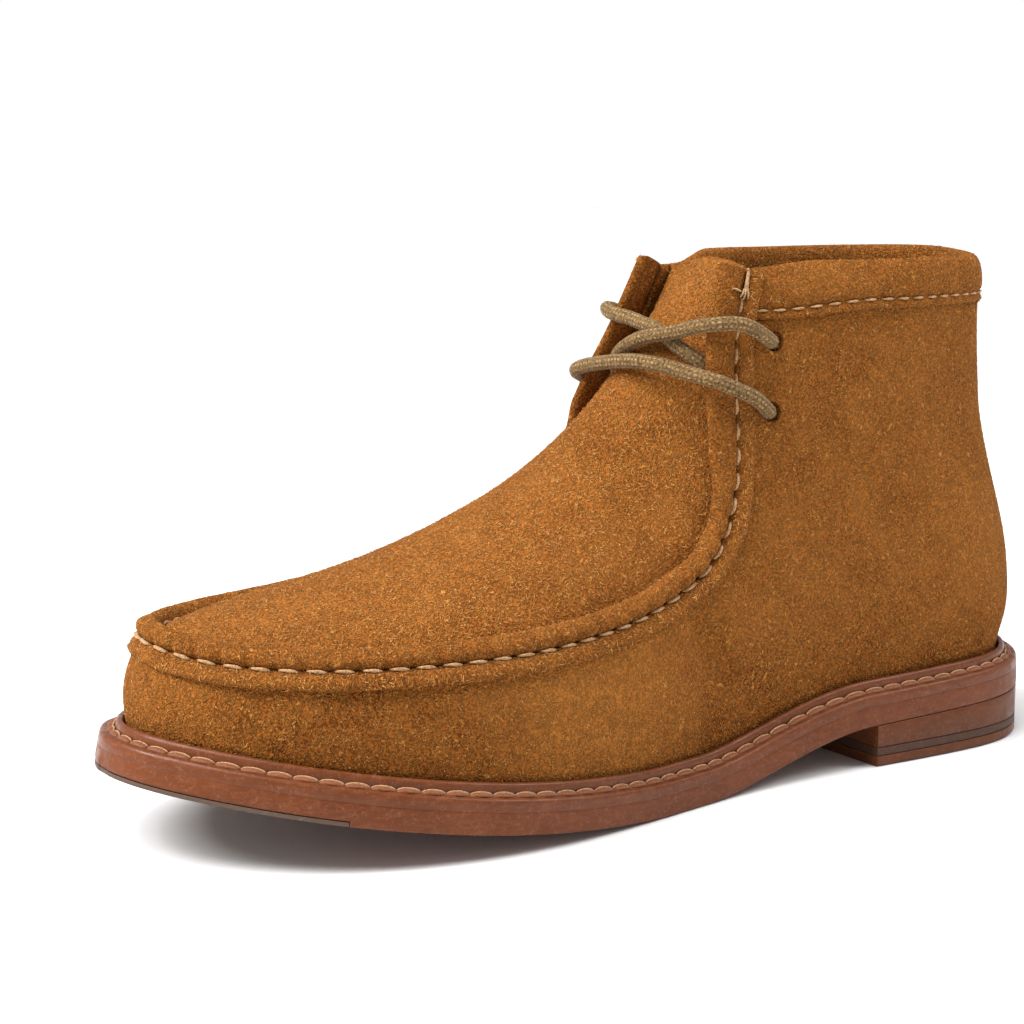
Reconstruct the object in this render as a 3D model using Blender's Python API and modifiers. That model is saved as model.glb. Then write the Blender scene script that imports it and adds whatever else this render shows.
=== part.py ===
"""Moccasin boot for the left foot, built as a shoemaker assembles it.

Toe towards -Y, heel towards +Y, outer (lateral) side towards +X, floor at z = 0.
Inside this file the foot is measured in millimetres: x is across, forward is the
distance from the back of the heel towards the toe, and z is the height.
"""
import math

import bmesh
import bpy
import numpy as np
from mathutils import Vector

MM = 0.001

# ---- Driving dimensions, millimetres -------------------------------------------------
SOLE_LENGTH = 300.0
HEEL_BACK_HEIGHT = 14.8      # underside of the outsole above the floor, at the back
HEEL_FRONT_HEIGHT = 12.2     # and at the heel breast
HEEL_LENGTH = 77.7
WAIST_END = 143.0            # here the arch comes down to the floor
ROLL_START = 157.5           # here the toe spring begins
TOE_SPRING = 21.7
TOE_SPRING_POWER = 1.43
OUTSOLE_THICK = 6.0
WELT_TOP = 9.4               # heights above the underside of the outsole
BEAD_TOP = 12.8
GAP = 0.3                    # between pieces that are glued or sewn face to face
WALL_INSET = 6.9             # outer face of the upper, in from the sole edge
WALL_THICK = 2.0
APRON_THICK = 1.8
TOP_LINE = 144.3             # top edge of the wall under the collar
RIDGE_X = -4.0               # the instep ridge runs a little to the inner side
LACE_DIAMETER = 4.2
EYELET_DIAMETER = 5.4
INSOLE_THICK = 2.6
TOE_PLATE_START = 255.0
TOE_PLATE_THICK = 1.2
TOP_PIECE = (0.0, 3.0)       # heights of the heel's lower layers
HEEL_BAND = (3.3, 5.4)
HEEL_LIFT_BOTTOM = 5.7

# ---- Short tables: one row for each section ------------------------------------------
# Outline of the sole from above: forward, outer side, inner side.
OUTLINE = (
    (6.0, 18.8, -20.0),
    (20.0, 32.0, -33.0),
    (45.0, 37.2, -36.0),
    (80.0, 37.4, -33.0),
    (120.0, 38.6, -30.0),
    (160.0, 46.0, -37.0),
    (190.0, 51.7, -48.0),
    (215.0, 52.8, -53.5),
    (240.0, 49.1, -53.0),
    (262.0, 41.4, -48.1),
    (280.0, 30.0, -38.1),
    (291.0, 19.6, -27.2),
    (297.5, 9.4, -15.1),
)
TOE_TIP_X = -6.0

# How far the wall stands outside its foot, at heights above the feather edge.
WALL_HEIGHTS = (0.0, 4.0, 12.0, 24.0, 40.0, 62.0, 90.0, 120.0)
HEEL_SECTION = (0.0, 0.7, 3.2, 3.6, 1.0, -6.0, -10.8, -11.8)
TOE_SECTION = (0.0, 0.5, 0.5, -3.6, -8.6, -15.0, -23.0, -31.0)
LATERAL_SECTIONS = (          # forward, then one column for each of WALL_HEIGHTS
    (10.0, (0.0, 0.7, 2.8, 3.3, 1.2, -4.6, -8.6, -9.2)),
    (30.0, (0.0, 0.6, 1.9, 2.2, 1.2, -2.2, -5.1, -5.7)),
    (70.0, (0.0, 0.5, 2.0, 2.8, 2.5, 1.6, 0.6, 0.0)),
    (100.0, (0.0, 0.5, 1.9, 2.6, 2.4, 0.4, -2.9, -6.0)),
    (120.0, (0.0, 0.5, 1.8, 2.3, 1.5, -2.0, -6.4, -11.0)),
    (140.0, (0.0, 0.5, 1.4, 1.3, -0.8, -5.6, -12.0, -19.0)),
    (165.0, (0.0, 0.4, 1.2, 1.0, -2.4, -8.0, -15.0, -22.0)),
    (200.0, (0.0, 0.4, 1.1, 0.6, -3.6, -9.5, -17.0, -25.0)),
    (240.0, (0.0, 0.4, 0.9, -1.5, -6.0, -12.0, -20.0, -28.0)),
    (270.0, (0.0, 0.4, 0.8, -2.2, -6.5, -12.5, -20.0, -28.0)),
)
MEDIAL_SECTIONS = (
    (10.0, (0.0, 0.7, 2.8, 3.3, 1.2, -4.6, -8.8, -9.5)),
    (30.0, (0.0, 0.6, 1.9, 2.2, 1.2, -1.8, -4.4, -5.0)),
    (70.0, (0.0, 0.7, 2.8, 3.7, 3.8, 3.4, 2.9, 2.6)),
    (100.0, (0.0, 0.6, 3.2, 5.3, 6.1, 5.1, 2.7, 0.0)),
    (120.0, (0.0, 0.6, 3.4, 6.0, 7.2, 5.2, 1.4, -3.4)),
    (140.0, (0.0, 0.6, 3.2, 5.5, 6.4, 3.8, -1.0, -6.4)),
    (165.0, (0.0, 0.6, 2.0, 2.9, 1.9, -2.2, -8.5, -15.0)),
    (200.0, (0.0, 0.4, 1.2, 0.9, -2.4, -7.8, -15.0, -23.0)),
    (240.0, (0.0, 0.4, 0.9, -1.0, -5.4, -11.5, -19.5, -28.0)),
    (270.0, (0.0, 0.4, 0.8, -2.0, -6.4, -12.5, -20.0, -28.0)),
)

# The moccasin seam, from the top of the facings down, round and out to the toe. The
# columns are ridge, where a rib of the apron meets the instep ridge; then for the outer
# side foot, forward and height, which are where the rib of the wall starts below and
# where the seam lies; then the same three for the inner side.
SEAM = (
    (111.0, 108.0, 112.3, 144.3, 109.0, 115.0, 144.3),
    (117.5, 112.0, 115.1, 133.0, 114.5, 119.6, 133.0),
    (125.0, 116.0, 117.3, 120.0, 121.0, 124.7, 121.0),
    (133.0, 120.0, 118.4, 105.0, 129.5, 130.4, 110.0),
    (141.0, 126.0, 119.6, 89.0, 138.0, 136.0, 98.0),
    (149.0, 134.0, 124.6, 73.5, 148.0, 143.5, 86.5),
    (157.0, 146.0, 135.2, 62.0, 157.0, 153.0, 76.0),
    (165.0, 160.0, 151.0, 55.2, 166.0, 164.5, 68.0),
    (174.0, 174.0, 168.0, 51.9, 178.0, 178.0, 61.0),
    (191.0, 192.0, 191.0, 50.0, 195.0, 196.0, 56.6),
    (213.0, 215.0, 215.0, 49.3, 215.0, 215.0, 53.3),
    (234.0, 240.0, 240.0, 49.1, 240.0, 240.0, 51.2),
    (251.0, 262.0, 262.0, 49.5, 262.0, 262.0, 50.6),
    (264.0, 280.0, 280.0, 50.5, 280.0, 280.0, 51.0),
    (274.0, 292.0, 292.0, 52.2, 292.0, 292.0, 52.5),
    (281.0, 300.0, 300.0, 54.4, 300.0, 300.0, 54.4),
)
TOE_ROW = len(SEAM) - 1
THROAT_ROWS = (3.6, 5.4)     # the facings are free above the first, sewn below the second

# Instep ridge, from the top of the tongue to the toe: forward, height.
RIDGE = (
    (104.0, 153.0),
    (111.0, 147.0),
    (119.0, 140.0),
    (128.0, 130.0),
    (138.0, 118.5),
    (150.0, 106.0),
    (162.0, 96.0),
    (175.0, 86.8),
    (190.0, 79.2),
    (207.0, 72.7),
    (225.0, 67.5),
    (242.0, 64.0),
    (260.0, 61.0),
    (275.0, 58.3),
    (292.0, 55.6),
)
ARCH_POWER = 2.1

# Eyelets: side (1 is the outer side), forward, height.
EYELETS = {
    "lateral_upper": (1, 105.2, 124.3),
    "lateral_lower": (1, 107.0, 104.8),
    "medial_upper": (-1, 107.0, 124.3),
    "medial_lower": (-1, 113.0, 104.8),
}


# ---- Curves --------------------------------------------------------------------------
def spline(knots, values, at):
    """Natural cubic spline through the rows of values."""
    knots = np.asarray(knots, float)
    values = np.asarray(values, float)
    at = np.asarray(at, float)
    steps = np.diff(knots)
    count = len(knots)
    system = np.eye(count)
    right = np.zeros_like(values)
    for i in range(1, count - 1):
        system[i, i - 1:i + 2] = steps[i - 1], 2 * (steps[i - 1] + steps[i]), steps[i]
        rise = (values[i + 1] - values[i]) / steps[i] - (values[i] - values[i - 1]) / steps[i - 1]
        right[i] = 6 * rise
    bend = np.linalg.solve(system, right)
    k = np.clip(np.searchsorted(knots, at) - 1, 0, count - 2)
    span = steps[k]
    a = (knots[k + 1] - at) / span
    b = 1 - a
    if values.ndim == 2:
        a, b, span = a[:, None], b[:, None], span[:, None]
    low, high = values[k], values[k + 1]
    return a * low + b * high + ((a ** 3 - a) * bend[k] + (b ** 3 - b) * bend[k + 1]) * span ** 2 / 6


def smooth_step(low, high, at):
    """0 below low, 1 above high, with soft ends."""
    t = np.clip((np.asarray(at, float) - low) / (high - low), 0, 1)
    return t * t * (3 - 2 * t)


def unit(vectors):
    return vectors / np.linalg.norm(vectors, axis=-1, keepdims=True)


def blend(first, second, weight):
    weight = np.asarray(weight, float)[..., None]
    return first * (1 - weight) + second * weight


# ---- Sole: outline from above and profile from the side -------------------------------
def make_ring():
    """Sole outline as a dense ring: 0 at the back of the heel, 1 at the toe tip."""
    lateral = [(row[1], row[0]) for row in OUTLINE]
    medial = [(row[2], row[0]) for row in reversed(OUTLINE)]
    loop = np.array([(0.0, 0.0)] + lateral + [(TOE_TIP_X, SOLE_LENGTH)] + medial)
    toe = len(lateral) + 1
    wrapped = np.vstack([loop[-4:], loop, loop[:5]])
    along = np.concatenate([[0.0], np.cumsum(np.linalg.norm(np.diff(wrapped, axis=0), axis=1))])
    start, tip, end = along[4], along[4 + toe], along[4 + len(loop)]
    ring = np.linspace(0, 2, 1601)
    at = np.where(ring < 1, start + ring * (tip - start), tip + (ring - 1) * (end - tip))
    points = spline(along, wrapped, at)
    points[-1] = points[0]
    slope = spline(along, wrapped, at + 0.05) - spline(along, wrapped, at - 0.05)
    outward = unit(np.stack([slope[:, 1], -slope[:, 0]], axis=-1))
    return ring, points, outward


RING, RING_POINTS, RING_OUTWARD = make_ring()
HALF = len(RING) // 2
X_MIDDLE = (RING_POINTS[:, 0].max() + RING_POINTS[:, 0].min()) / 2
FORWARD_MIDDLE = (RING_POINTS[:, 1].max() + RING_POINTS[:, 1].min()) / 2


def ring_at(side, forward):
    """Ring coordinate of the outline point at this distance from the heel."""
    if side > 0:
        return np.interp(forward, RING_POINTS[:HALF + 1, 1], RING[:HALF + 1])
    return np.interp(forward, RING_POINTS[HALF:, 1][::-1], RING[HALF:][::-1])


def outline_at(ring, inset=0.0):
    """Outline point and outward direction; inset may be one value or one a point."""
    ring = np.mod(ring, 2.0)
    point = np.stack([np.interp(ring, RING, RING_POINTS[:, i]) for i in (0, 1)], axis=-1)
    outward = unit(np.stack([np.interp(ring, RING, RING_OUTWARD[:, i]) for i in (0, 1)], axis=-1))
    return point - outward * np.asarray(inset, float)[..., None], outward


def sole_height(forward):
    """Height of the underside of the outsole."""
    forward = np.asarray(forward, float)
    slope = (HEEL_FRONT_HEIGHT - HEEL_BACK_HEIGHT) / HEEL_LENGTH
    seat = HEEL_BACK_HEIGHT + slope * forward
    run = WAIST_END - HEEL_LENGTH
    t = np.clip((forward - HEEL_LENGTH) / run, 0, 1)
    waist = HEEL_FRONT_HEIGHT * (2 * t ** 3 - 3 * t ** 2 + 1)
    waist = waist + slope * run * (t ** 3 - 2 * t ** 2 + t)
    toe = np.clip((forward - ROLL_START) / (SOLE_LENGTH - ROLL_START), 0, None)
    return np.where(forward < HEEL_LENGTH, seat, waist) + TOE_SPRING * toe ** TOE_SPRING_POWER


def on_sole(plan, height):
    """Point above the sole: height is measured square to the sole's own curve."""
    slope = sole_height(plan[..., 1] + 0.5) - sole_height(plan[..., 1] - 0.5)
    length = np.sqrt(1 + slope ** 2)
    forward = plan[..., 1] - height * slope / length
    z = sole_height(plan[..., 1]) + height / length
    return np.stack([plan[..., 0], forward, z], axis=-1)


# ---- Last: the outer face of the wall -------------------------------------------------
def section_table():
    """Ring coordinates and rows of all wall sections, repeated once round each way."""
    rows = [(0.0, HEEL_SECTION)]
    rows += [(float(ring_at(1, forward)), row) for forward, row in LATERAL_SECTIONS]
    rows += [(1.0, TOE_SECTION)]
    rows += [(float(ring_at(-1, forward)), row) for forward, row in reversed(MEDIAL_SECTIONS)]
    rings = np.array([ring for ring, row in rows])
    values = np.array([row for ring, row in rows])
    rings = np.concatenate([rings[-5:] - 2, rings, rings[:6] + 2])
    return rings, np.vstack([values[-5:], values, values[:6]])


SECTION_RINGS, SECTION_VALUES = section_table()


def wall_foot(ring):
    """Lower edge of the wall's outer face, just above the welt's rim."""
    plan, outward = outline_at(ring, WALL_INSET)
    return on_sole(plan, WELT_TOP + 2 * GAP), outward


def wall_point(ring, z):
    """Point of the wall's outer face at a ring coordinate and a height."""
    ring = np.mod(np.asarray(ring, float), 2.0)
    z = np.asarray(z, float)
    foot, outward = wall_foot(ring)
    columns = spline(SECTION_RINGS, SECTION_VALUES, ring.ravel())
    rise = (z - foot[..., 2]).ravel()
    standing = np.array([float(spline(WALL_HEIGHTS, row, up)) for row, up in zip(columns, rise)])
    shift = outward * standing.reshape(ring.shape)[..., None]
    return np.stack([foot[..., 0] + shift[..., 0], foot[..., 1] + shift[..., 1], z], axis=-1)


def wall_frame(ring, z):
    """Point on the wall with its unit normal, outwards."""
    ring = np.asarray(ring, float)
    point = wall_point(ring, z)
    along = wall_point(ring + 0.002, z) - wall_point(ring - 0.002, z)
    up = wall_point(ring, z + 0.4) - wall_point(ring, z - 0.4)
    return point, unit(np.cross(along, up))


# ---- Moccasin seam -------------------------------------------------------------------
def seam_table():
    """Foot ring, seam ring and seam height of each row, outer side first."""
    rows = [(ring_at(1, row[1]), ring_at(1, row[2]), row[3]) for row in SEAM[:-1]]
    rows += [(1.0, 1.0, SEAM[-1][3])]
    rows += [(ring_at(-1, row[4]), ring_at(-1, row[5]), row[6]) for row in reversed(SEAM[:-1])]
    return np.array(rows, float)


SEAM_ROWS = seam_table()


def seam_at(row):
    """Foot ring, seam ring, seam height at a fractional row."""
    return spline(np.arange(len(SEAM_ROWS)), SEAM_ROWS, row).T


def side_row(row):
    """Rows counted from the top of either facing."""
    return TOE_ROW - np.abs(np.asarray(row, float) - TOE_ROW)


def freedom(row):
    """1 where the facing is free, 0 where wall and apron are sewn together."""
    return 1 - smooth_step(*THROAT_ROWS, side_row(row))


def seam_frame(row):
    """Seam point, wall normal, and the direction in the wall away from its edge."""
    row = np.asarray(row, float)
    foot, ring, z = seam_at(row)
    point, normal = wall_frame(ring, z)
    ahead = seam_at(np.clip(row + 0.05, 0, 2 * TOE_ROW))
    behind = seam_at(np.clip(row - 0.05, 0, 2 * TOE_ROW))
    along = unit(wall_point(ahead[1], ahead[2]) - wall_point(behind[1], behind[2]))
    into_wall = unit(np.cross(along, normal))
    return point, normal, into_wall, along


def ridge_height(forward):
    rows = np.array(RIDGE)
    return spline(rows[:, 0], rows[:, 1], np.asarray(forward, float))


def apron_point(row, t):
    """Outer face of the apron and tongue: t is 0 on the ridge and 1 at the seam."""
    row = np.asarray(row, float)
    t = np.asarray(t, float)
    ridge_forward = spline(np.arange(len(SEAM)), np.array([r[0] for r in SEAM]), side_row(row))
    point, normal, into_wall, along = seam_frame(row)
    inside = WALL_THICK + 0.6 + 2.6 * (1 - smooth_step(0.5, 3.5, side_row(row)))
    edge = point - normal * inside[:, None]
    fan = 1 - smooth_step(200, 245, ridge_forward)
    bend = t ** ARCH_POWER
    x = RIDGE_X + (edge[:, 0] - RIDGE_X) * t
    forward = ridge_forward + (edge[:, 1] - ridge_forward) * (t * (1 - fan) + bend * fan)
    drop = ridge_height(edge[:, 1]) - edge[:, 2]
    return np.stack([x, forward, ridge_height(forward) - drop * bend], axis=-1)


def apron_frame(row, t):
    """Apron point with its unit normal, upwards."""
    point = apron_point(row, t)
    across = apron_point(row, np.clip(t + 0.01, 0, 1)) - apron_point(row, np.clip(t - 0.01, 0, 1))
    low = np.clip(np.asarray(row) - 0.05, 0, 2 * TOE_ROW)
    high = np.clip(np.asarray(row) + 0.05, 0, 2 * TOE_ROW)
    along = apron_point(high, t) - apron_point(low, t)
    normal = unit(np.cross(across, along))
    return point, normal * np.where(normal[:, 2:3] < 0, -1, 1)


# ---- Blender objects -----------------------------------------------------------------
def world(points):
    """Foot millimetres to metres in the shared frame."""
    points = np.asarray(points, float)
    x = points[..., 0] - X_MIDDLE
    y = FORWARD_MIDDLE - points[..., 1]
    return np.stack([x, y, points[..., 2]], axis=-1) * MM


def material(name, colour, roughness):
    mat = bpy.data.materials.new(name)
    mat.use_nodes = True
    shader = mat.node_tree.nodes["Principled BSDF"]
    shader.inputs["Base Color"].default_value = (*colour, 1.0)
    shader.inputs["Roughness"].default_value = roughness
    shader.inputs["Metallic"].default_value = 0.0
    return mat


def add_object(name, bm, mat, collection):
    """Finish a bmesh: outward faces, smooth sides, origin at its box's centre."""
    bmesh.ops.recalc_face_normals(bm, faces=bm.faces)
    mesh = bpy.data.meshes.new(name)
    corners = np.array([v.co for v in bm.verts])
    middle = Vector((corners.min(axis=0) + corners.max(axis=0)) / 2)
    bmesh.ops.translate(bm, verts=bm.verts, vec=-middle)
    bm.to_mesh(mesh)
    bm.free()
    mesh.shade_smooth()
    mesh.set_sharp_from_angle(angle=math.radians(40))
    obj = bpy.data.objects.new(name, mesh)
    obj.location = middle
    obj.data.materials.append(mat)
    collection.objects.link(obj)
    return obj


def grid_faces(bm, rows, closed):
    """Quads between neighbouring rows of vertices."""
    pairs = list(zip(rows, rows[1:]))
    if closed:
        pairs.append((rows[-1], rows[0]))
    for first, second in pairs:
        for i in range(len(first) - 1):
            bm.faces.new((first[i], first[i + 1], second[i + 1], second[i]))


def sheet(points, closed):
    """Open surface from a grid of points."""
    bm = bmesh.new()
    rows = [[bm.verts.new(p) for p in row] for row in world(points)]
    grid_faces(bm, rows, closed)
    return bm


def sweep(sections, closed):
    """Solid along a path: sections[i] is the outline of the section at station i."""
    bm = bmesh.new()
    rows = [[bm.verts.new(p) for p in row] for row in world(sections)]
    grid_faces(bm, [row + row[:1] for row in rows], closed)
    if not closed:
        bm.faces.new(rows[0])
        bm.faces.new(rows[-1])
    return bm


def slab(forwards, inset, low, high):
    """Plate of the sole's outline between two surfaces, as a ladder across the foot."""
    bm = bmesh.new()
    stations = []
    for forward in forwards:
        sides = []
        for side in (1, -1):
            plan, outward = outline_at(ring_at(side, forward), inset)
            sides.append((low(plan), high(plan)))
        stations.append([sides[0][0], sides[0][1], sides[1][1], sides[1][0]])
    rows = [[bm.verts.new(p) for p in row] for row in world(np.array(stations))]
    grid_faces(bm, [row + row[:1] for row in rows], False)
    bm.faces.new(rows[0])
    bm.faces.new(rows[-1])
    return bm


def solidify(obj, thickness):
    """Give an open sheet its thickness, inwards from the modelled face."""
    shell = obj.modifiers.new("Thickness", "SOLIDIFY")
    shell.thickness = thickness * MM
    shell.offset = -1.0
    shell.use_even_offset = True


# ---- Sole pieces ---------------------------------------------------------------------
LEATHER_BROWN = (0.24, 0.105, 0.055)
SUEDE_TAN = (0.45, 0.27, 0.11)
FORWARDS = (0.3, 2.5, 6.0, 11.0, 18.0, 28.0, 42.0, 60.0, HEEL_LENGTH, 90.0, 105.0, 120.0, 132.0,
            WAIST_END, ROLL_START, 170.0, 182.0, 194.0, 206.0, 218.0, 230.0, 243.0,
            TOE_PLATE_START, 265.0, 274.0, 281.5, 288.0, 293.0, 296.8, 299.7)


def make_outsole(parts):
    """Leather outsole, thinner at the toe where the toe plate is let in."""
    def underside(plan):
        let_in = (TOE_PLATE_THICK + GAP) * (plan[1] > TOE_PLATE_START - 0.5)
        return on_sole(plan, let_in)
    forwards = [f for f in FORWARDS if f != TOE_PLATE_START]
    forwards += [TOE_PLATE_START - 0.8, TOE_PLATE_START - 0.3]
    bm = slab(sorted(forwards), 0.0, underside, lambda plan: on_sole(plan, OUTSOLE_THICK))
    mat = material("sole_leather", LEATHER_BROWN, 0.4)
    add_object("outsole", bm, mat, parts)


def make_toe_plate(parts):
    """Thin hard plate let into the underside of the toe, flush with the leather."""
    forwards = [TOE_PLATE_START + 0.4] + [f for f in FORWARDS if f > TOE_PLATE_START + 1]
    bm = slab(forwards, 0.2, lambda plan: on_sole(plan, 0.0),
              lambda plan: on_sole(plan, TOE_PLATE_THICK))
    add_object("toe_plate", bm, material("toe_rubber", (0.03, 0.027, 0.025), 0.5), parts)


def make_welt(parts):
    """Storm welt: a flat rim for the stitches and a raised bead against the upper."""
    section = (            # inset from the sole edge, height above the underside
        (0.3, OUTSOLE_THICK + GAP),
        (0.3, WELT_TOP - 0.7),
        (1.0, WELT_TOP),
        (3.6, WELT_TOP + 0.2),
        (3.9, BEAD_TOP - 1.0),
        (4.8, BEAD_TOP),
        (5.5, BEAD_TOP - 1.0),
        (5.8, WELT_TOP - 0.1),
        (12.0, WELT_TOP - 0.1),
        (12.0, OUTSOLE_THICK + GAP),
    )
    rings = np.arange(0, 2, 2 / 80)
    columns = [on_sole(outline_at(rings, inset)[0], height) for inset, height in section]
    bm = sweep(np.stack(columns, axis=1), True)
    add_object("welt", bm, material("welt_leather", LEATHER_BROWN, 0.35), parts)


def make_insole(parts):
    """Thin leather insole, inside the foot of the upper."""
    low = WELT_TOP + GAP
    bm = slab(FORWARDS, WALL_INSET + WALL_THICK + 0.5, lambda plan: on_sole(plan, low),
              lambda plan: on_sole(plan, low + INSOLE_THICK))
    add_object("insole", bm, material("insole_leather", (0.42, 0.27, 0.15), 0.7), parts)


def make_heel(parts):
    """Three layers, each cut off straight at the heel breast."""
    forwards = [f for f in FORWARDS if f <= HEEL_LENGTH]

    def level(z):
        return lambda plan: np.array([plan[0], plan[1], z])

    layers = (
        ("heel_lift", level(HEEL_LIFT_BOTTOM), lambda plan: on_sole(plan, -GAP), LEATHER_BROWN),
        ("heel_band", level(HEEL_BAND[0]), level(HEEL_BAND[1]), (0.04, 0.03, 0.026)),
        ("top_piece", level(TOP_PIECE[0]), level(TOP_PIECE[1]), LEATHER_BROWN),
    )
    for name, low, high, colour in layers:
        bm = slab(forwards, 0.2, low, high)
        add_object(name, bm, material(name + "_finish", colour, 0.45), parts)


# ---- Upper ---------------------------------------------------------------------------
WALL_LEVELS = (0.0, 0.06, 0.16, 0.3, 0.46, 0.64, 0.83, 1.0)
QUARTER_STATIONS = 38
SEAM_STATIONS = np.concatenate([np.arange(0, 10, 0.5), np.arange(10, 20.1, 0.4),
                                np.arange(20.5, 30.1, 0.5)])


def quarter_rings(count):
    """Foot and top ring coordinates from the inner facing, round the heel, to the outer."""
    share = np.linspace(0, 1, count)
    foot = (SEAM_ROWS[-1, 0] - 2) * (1 - share) + SEAM_ROWS[0, 0] * share
    top = (SEAM_ROWS[-1, 1] - 2) * (1 - share) + SEAM_ROWS[0, 1] * share
    return foot, top


def wall_column(foot, top, z_top):
    """Points of the outer face from the feather edge up to the top edge."""
    edge, outward = wall_foot(np.array([foot]))
    z_foot = edge[0, 2]
    share = np.array(WALL_LEVELS)
    return wall_point(foot + (top - foot) * share, z_foot + (z_top - z_foot) * share)


def eyelet_frame(name):
    side, forward, z = EYELETS[name]
    point, normal = wall_frame(np.array([float(ring_at(side, forward))]), np.array([z]))
    return point[0], normal[0]


def make_upper(parts, cutters):
    """Wall of the upper in one piece, open at collar, throat, eyelets and underneath."""
    foot, top = quarter_rings(QUARTER_STATIONS)
    columns = [wall_column(a, b, TOP_LINE) for a, b in zip(foot[1:-1], top[1:-1])]
    foot, top, height = seam_at(SEAM_STATIONS)
    columns += [wall_column(a, b, z) for a, b, z in zip(foot, top, height)]
    bm = sheet(np.array(columns), True)
    upper = add_object("upper", bm, material("suede", SUEDE_TAN, 0.9), parts)
    solidify(upper, WALL_THICK)
    for name in EYELETS:
        point, normal = eyelet_frame(name)
        punch = cylinder("punch_" + name, point, normal, EYELET_DIAMETER / 2, 12.0, cutters)
        cut = upper.modifiers.new(name, "BOOLEAN")
        cut.operation = "DIFFERENCE"
        cut.object = punch


def cylinder(name, point, axis, radius, length, cutters):
    """Round cutter about a point; its length runs both ways along the axis."""
    bm = bmesh.new()
    bmesh.ops.create_cone(bm, cap_ends=True, segments=16, radius1=radius * MM, radius2=radius * MM,
                          depth=length * MM)
    mesh = bpy.data.meshes.new(name)
    bm.to_mesh(mesh)
    bm.free()
    obj = bpy.data.objects.new(name, mesh)
    obj.location = world(point)
    direction = world(point + axis) - world(point)
    obj.rotation_euler = Vector(direction).to_track_quat("Z", "Y").to_euler()
    obj.hide_render = True
    obj.display_type = "WIRE"
    cutters.objects.link(obj)
    return obj


def make_apron_tongue(parts):
    """Apron and tongue in one piece, from the toe up behind the facings."""
    across = np.array((1.0, 0.94, 0.84, 0.7, 0.54, 0.38, 0.22, 0.0))
    rows = np.concatenate([np.arange(0, 6, 0.6), np.arange(6, TOE_ROW, 0.75), [TOE_ROW]])
    grid = []
    for row in rows:
        outer = apron_point(np.full(len(across), row), across)
        inner = apron_point(np.full(len(across) - 1, 2 * TOE_ROW - row), across[:-1])
        grid.append(np.vstack([outer, inner[::-1]]))
    bm = sheet(np.array(grid), False)
    bmesh.ops.remove_doubles(bm, verts=bm.verts, dist=0.05 * MM)
    bmesh.ops.dissolve_degenerate(bm, edges=bm.edges, dist=0.02 * MM)
    apron = add_object("apron_tongue", bm, material("apron_suede", SUEDE_TAN, 0.9), parts)
    solidify(apron, APRON_THICK)


# Section of the rolled seam. Sewn, it is a half-round over wall and apron. Along the free
# facings it is the rolled edge of the wall: outwards from the wall, and on from its edge.
ROLL_LAP = 5.2               # how far the roll reaches onto the apron
ROLL_CREST = 4.0             # height over the chord between its two feet
ROLL_SEAT = 0.6              # its feet stand this far off wall and apron
ROLL_ARC = (0, 38, 80, 125)  # degrees round the half-round, from the wall's foot
ROLL_FREE = ((0.6, 0.5), (1.1, 2.6), (1.3, 5.0), (0.9, 7.6),
             (-0.3, 8.8), (-1.6, 7.6), (-1.9, 4.0), (-1.9, 0.6))
ROLL_TOP = 146.2             # the roll is cut off level at the top of the facings


def roll_section(rows):
    """Outlines of the roll at fractional rows of the seam."""
    point, normal, into_wall, along = seam_frame(rows)
    rise = -into_wall
    ones = np.ones(len(rows))
    speed = np.linalg.norm(apron_point(rows, ones) - apron_point(rows, 0.95 * ones), axis=1) / 0.05
    far_foot, far_lift = apron_frame(rows, 1 - ROLL_LAP / speed)
    middle, middle_lift = apron_frame(rows, 1 - 0.5 * ROLL_LAP / speed)
    outer = point + normal * ROLL_SEAT + rise * 0.5
    inner = far_foot + far_lift * ROLL_SEAT
    chord = inner - outer
    up = unit(np.cross(chord, along))
    up = up * np.sign(np.sum(up * normal, axis=1))[:, None]
    angles = np.radians(ROLL_ARC)
    arc = [outer + chord * (1 - math.cos(a)) / 2 + up * ROLL_CREST * math.sin(a) for a in angles]
    under = middle + middle_lift * (ROLL_SEAT + 0.1)
    tucked_in = point - normal * (WALL_THICK + 0.1) + rise * 0.9
    sewn = arc + [inner, (inner + under) / 2 + middle_lift * 0.3, under, tucked_in]
    loose = [point + normal * out + rise * on for out, on in ROLL_FREE]
    outline = np.stack([blend(a, b, freedom(rows)) for a, b in zip(sewn, loose)], axis=1)
    outline[..., 2] = np.minimum(outline[..., 2], ROLL_TOP)
    return outline


def make_rolled_binding(parts):
    """Rolled seam: up one facing, round the toe and down the other."""
    rows = np.concatenate([np.arange(0, 8, 0.5), np.arange(8, 22, 0.4), np.arange(22, 30.1, 0.5)])
    bm = sweep(roll_section(rows), False)
    add_object("rolled_binding", bm, material("binding_suede", SUEDE_TAN, 0.9), parts)


def make_collar(parts):
    """Padded band folded over the top edge of the quarters."""
    top = TOP_LINE
    section = (            # outwards from the wall's outer face, height
        (0.4, top + 0.4),
        (0.4, top - 11.8),
        (1.1, top - 12.2),
        (1.5, top - 10.6),
        (1.1, top - 8.6),
        (1.5, top - 5.0),
        (1.4, top - 0.5),
        (0.5, top + 2.3),
        (-1.1, top + 3.2),
        (-3.4, top + 2.2),
        (-4.6, top - 2.5),
        (-4.4, top - 9.0),
        (-3.6, top - 12.0),
        (-2.4, top - 12.0),
        (-2.4, top + 0.4),
    )
    foot, ring = quarter_rings(48)
    ring = ring[1:-1]
    columns = []
    for out, z in section:
        point, normal = wall_frame(ring, np.full(len(ring), min(z, top)))
        normal = unit(normal * np.array((1.0, 1.0, 0.0)))
        columns.append(np.stack([*(point + normal * out).T[:2], np.full(len(ring), z)], axis=-1))
    bm = sweep(np.stack(columns, axis=1), False)
    add_object("collar", bm, material("collar_suede", SUEDE_TAN, 0.9), parts)


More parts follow.
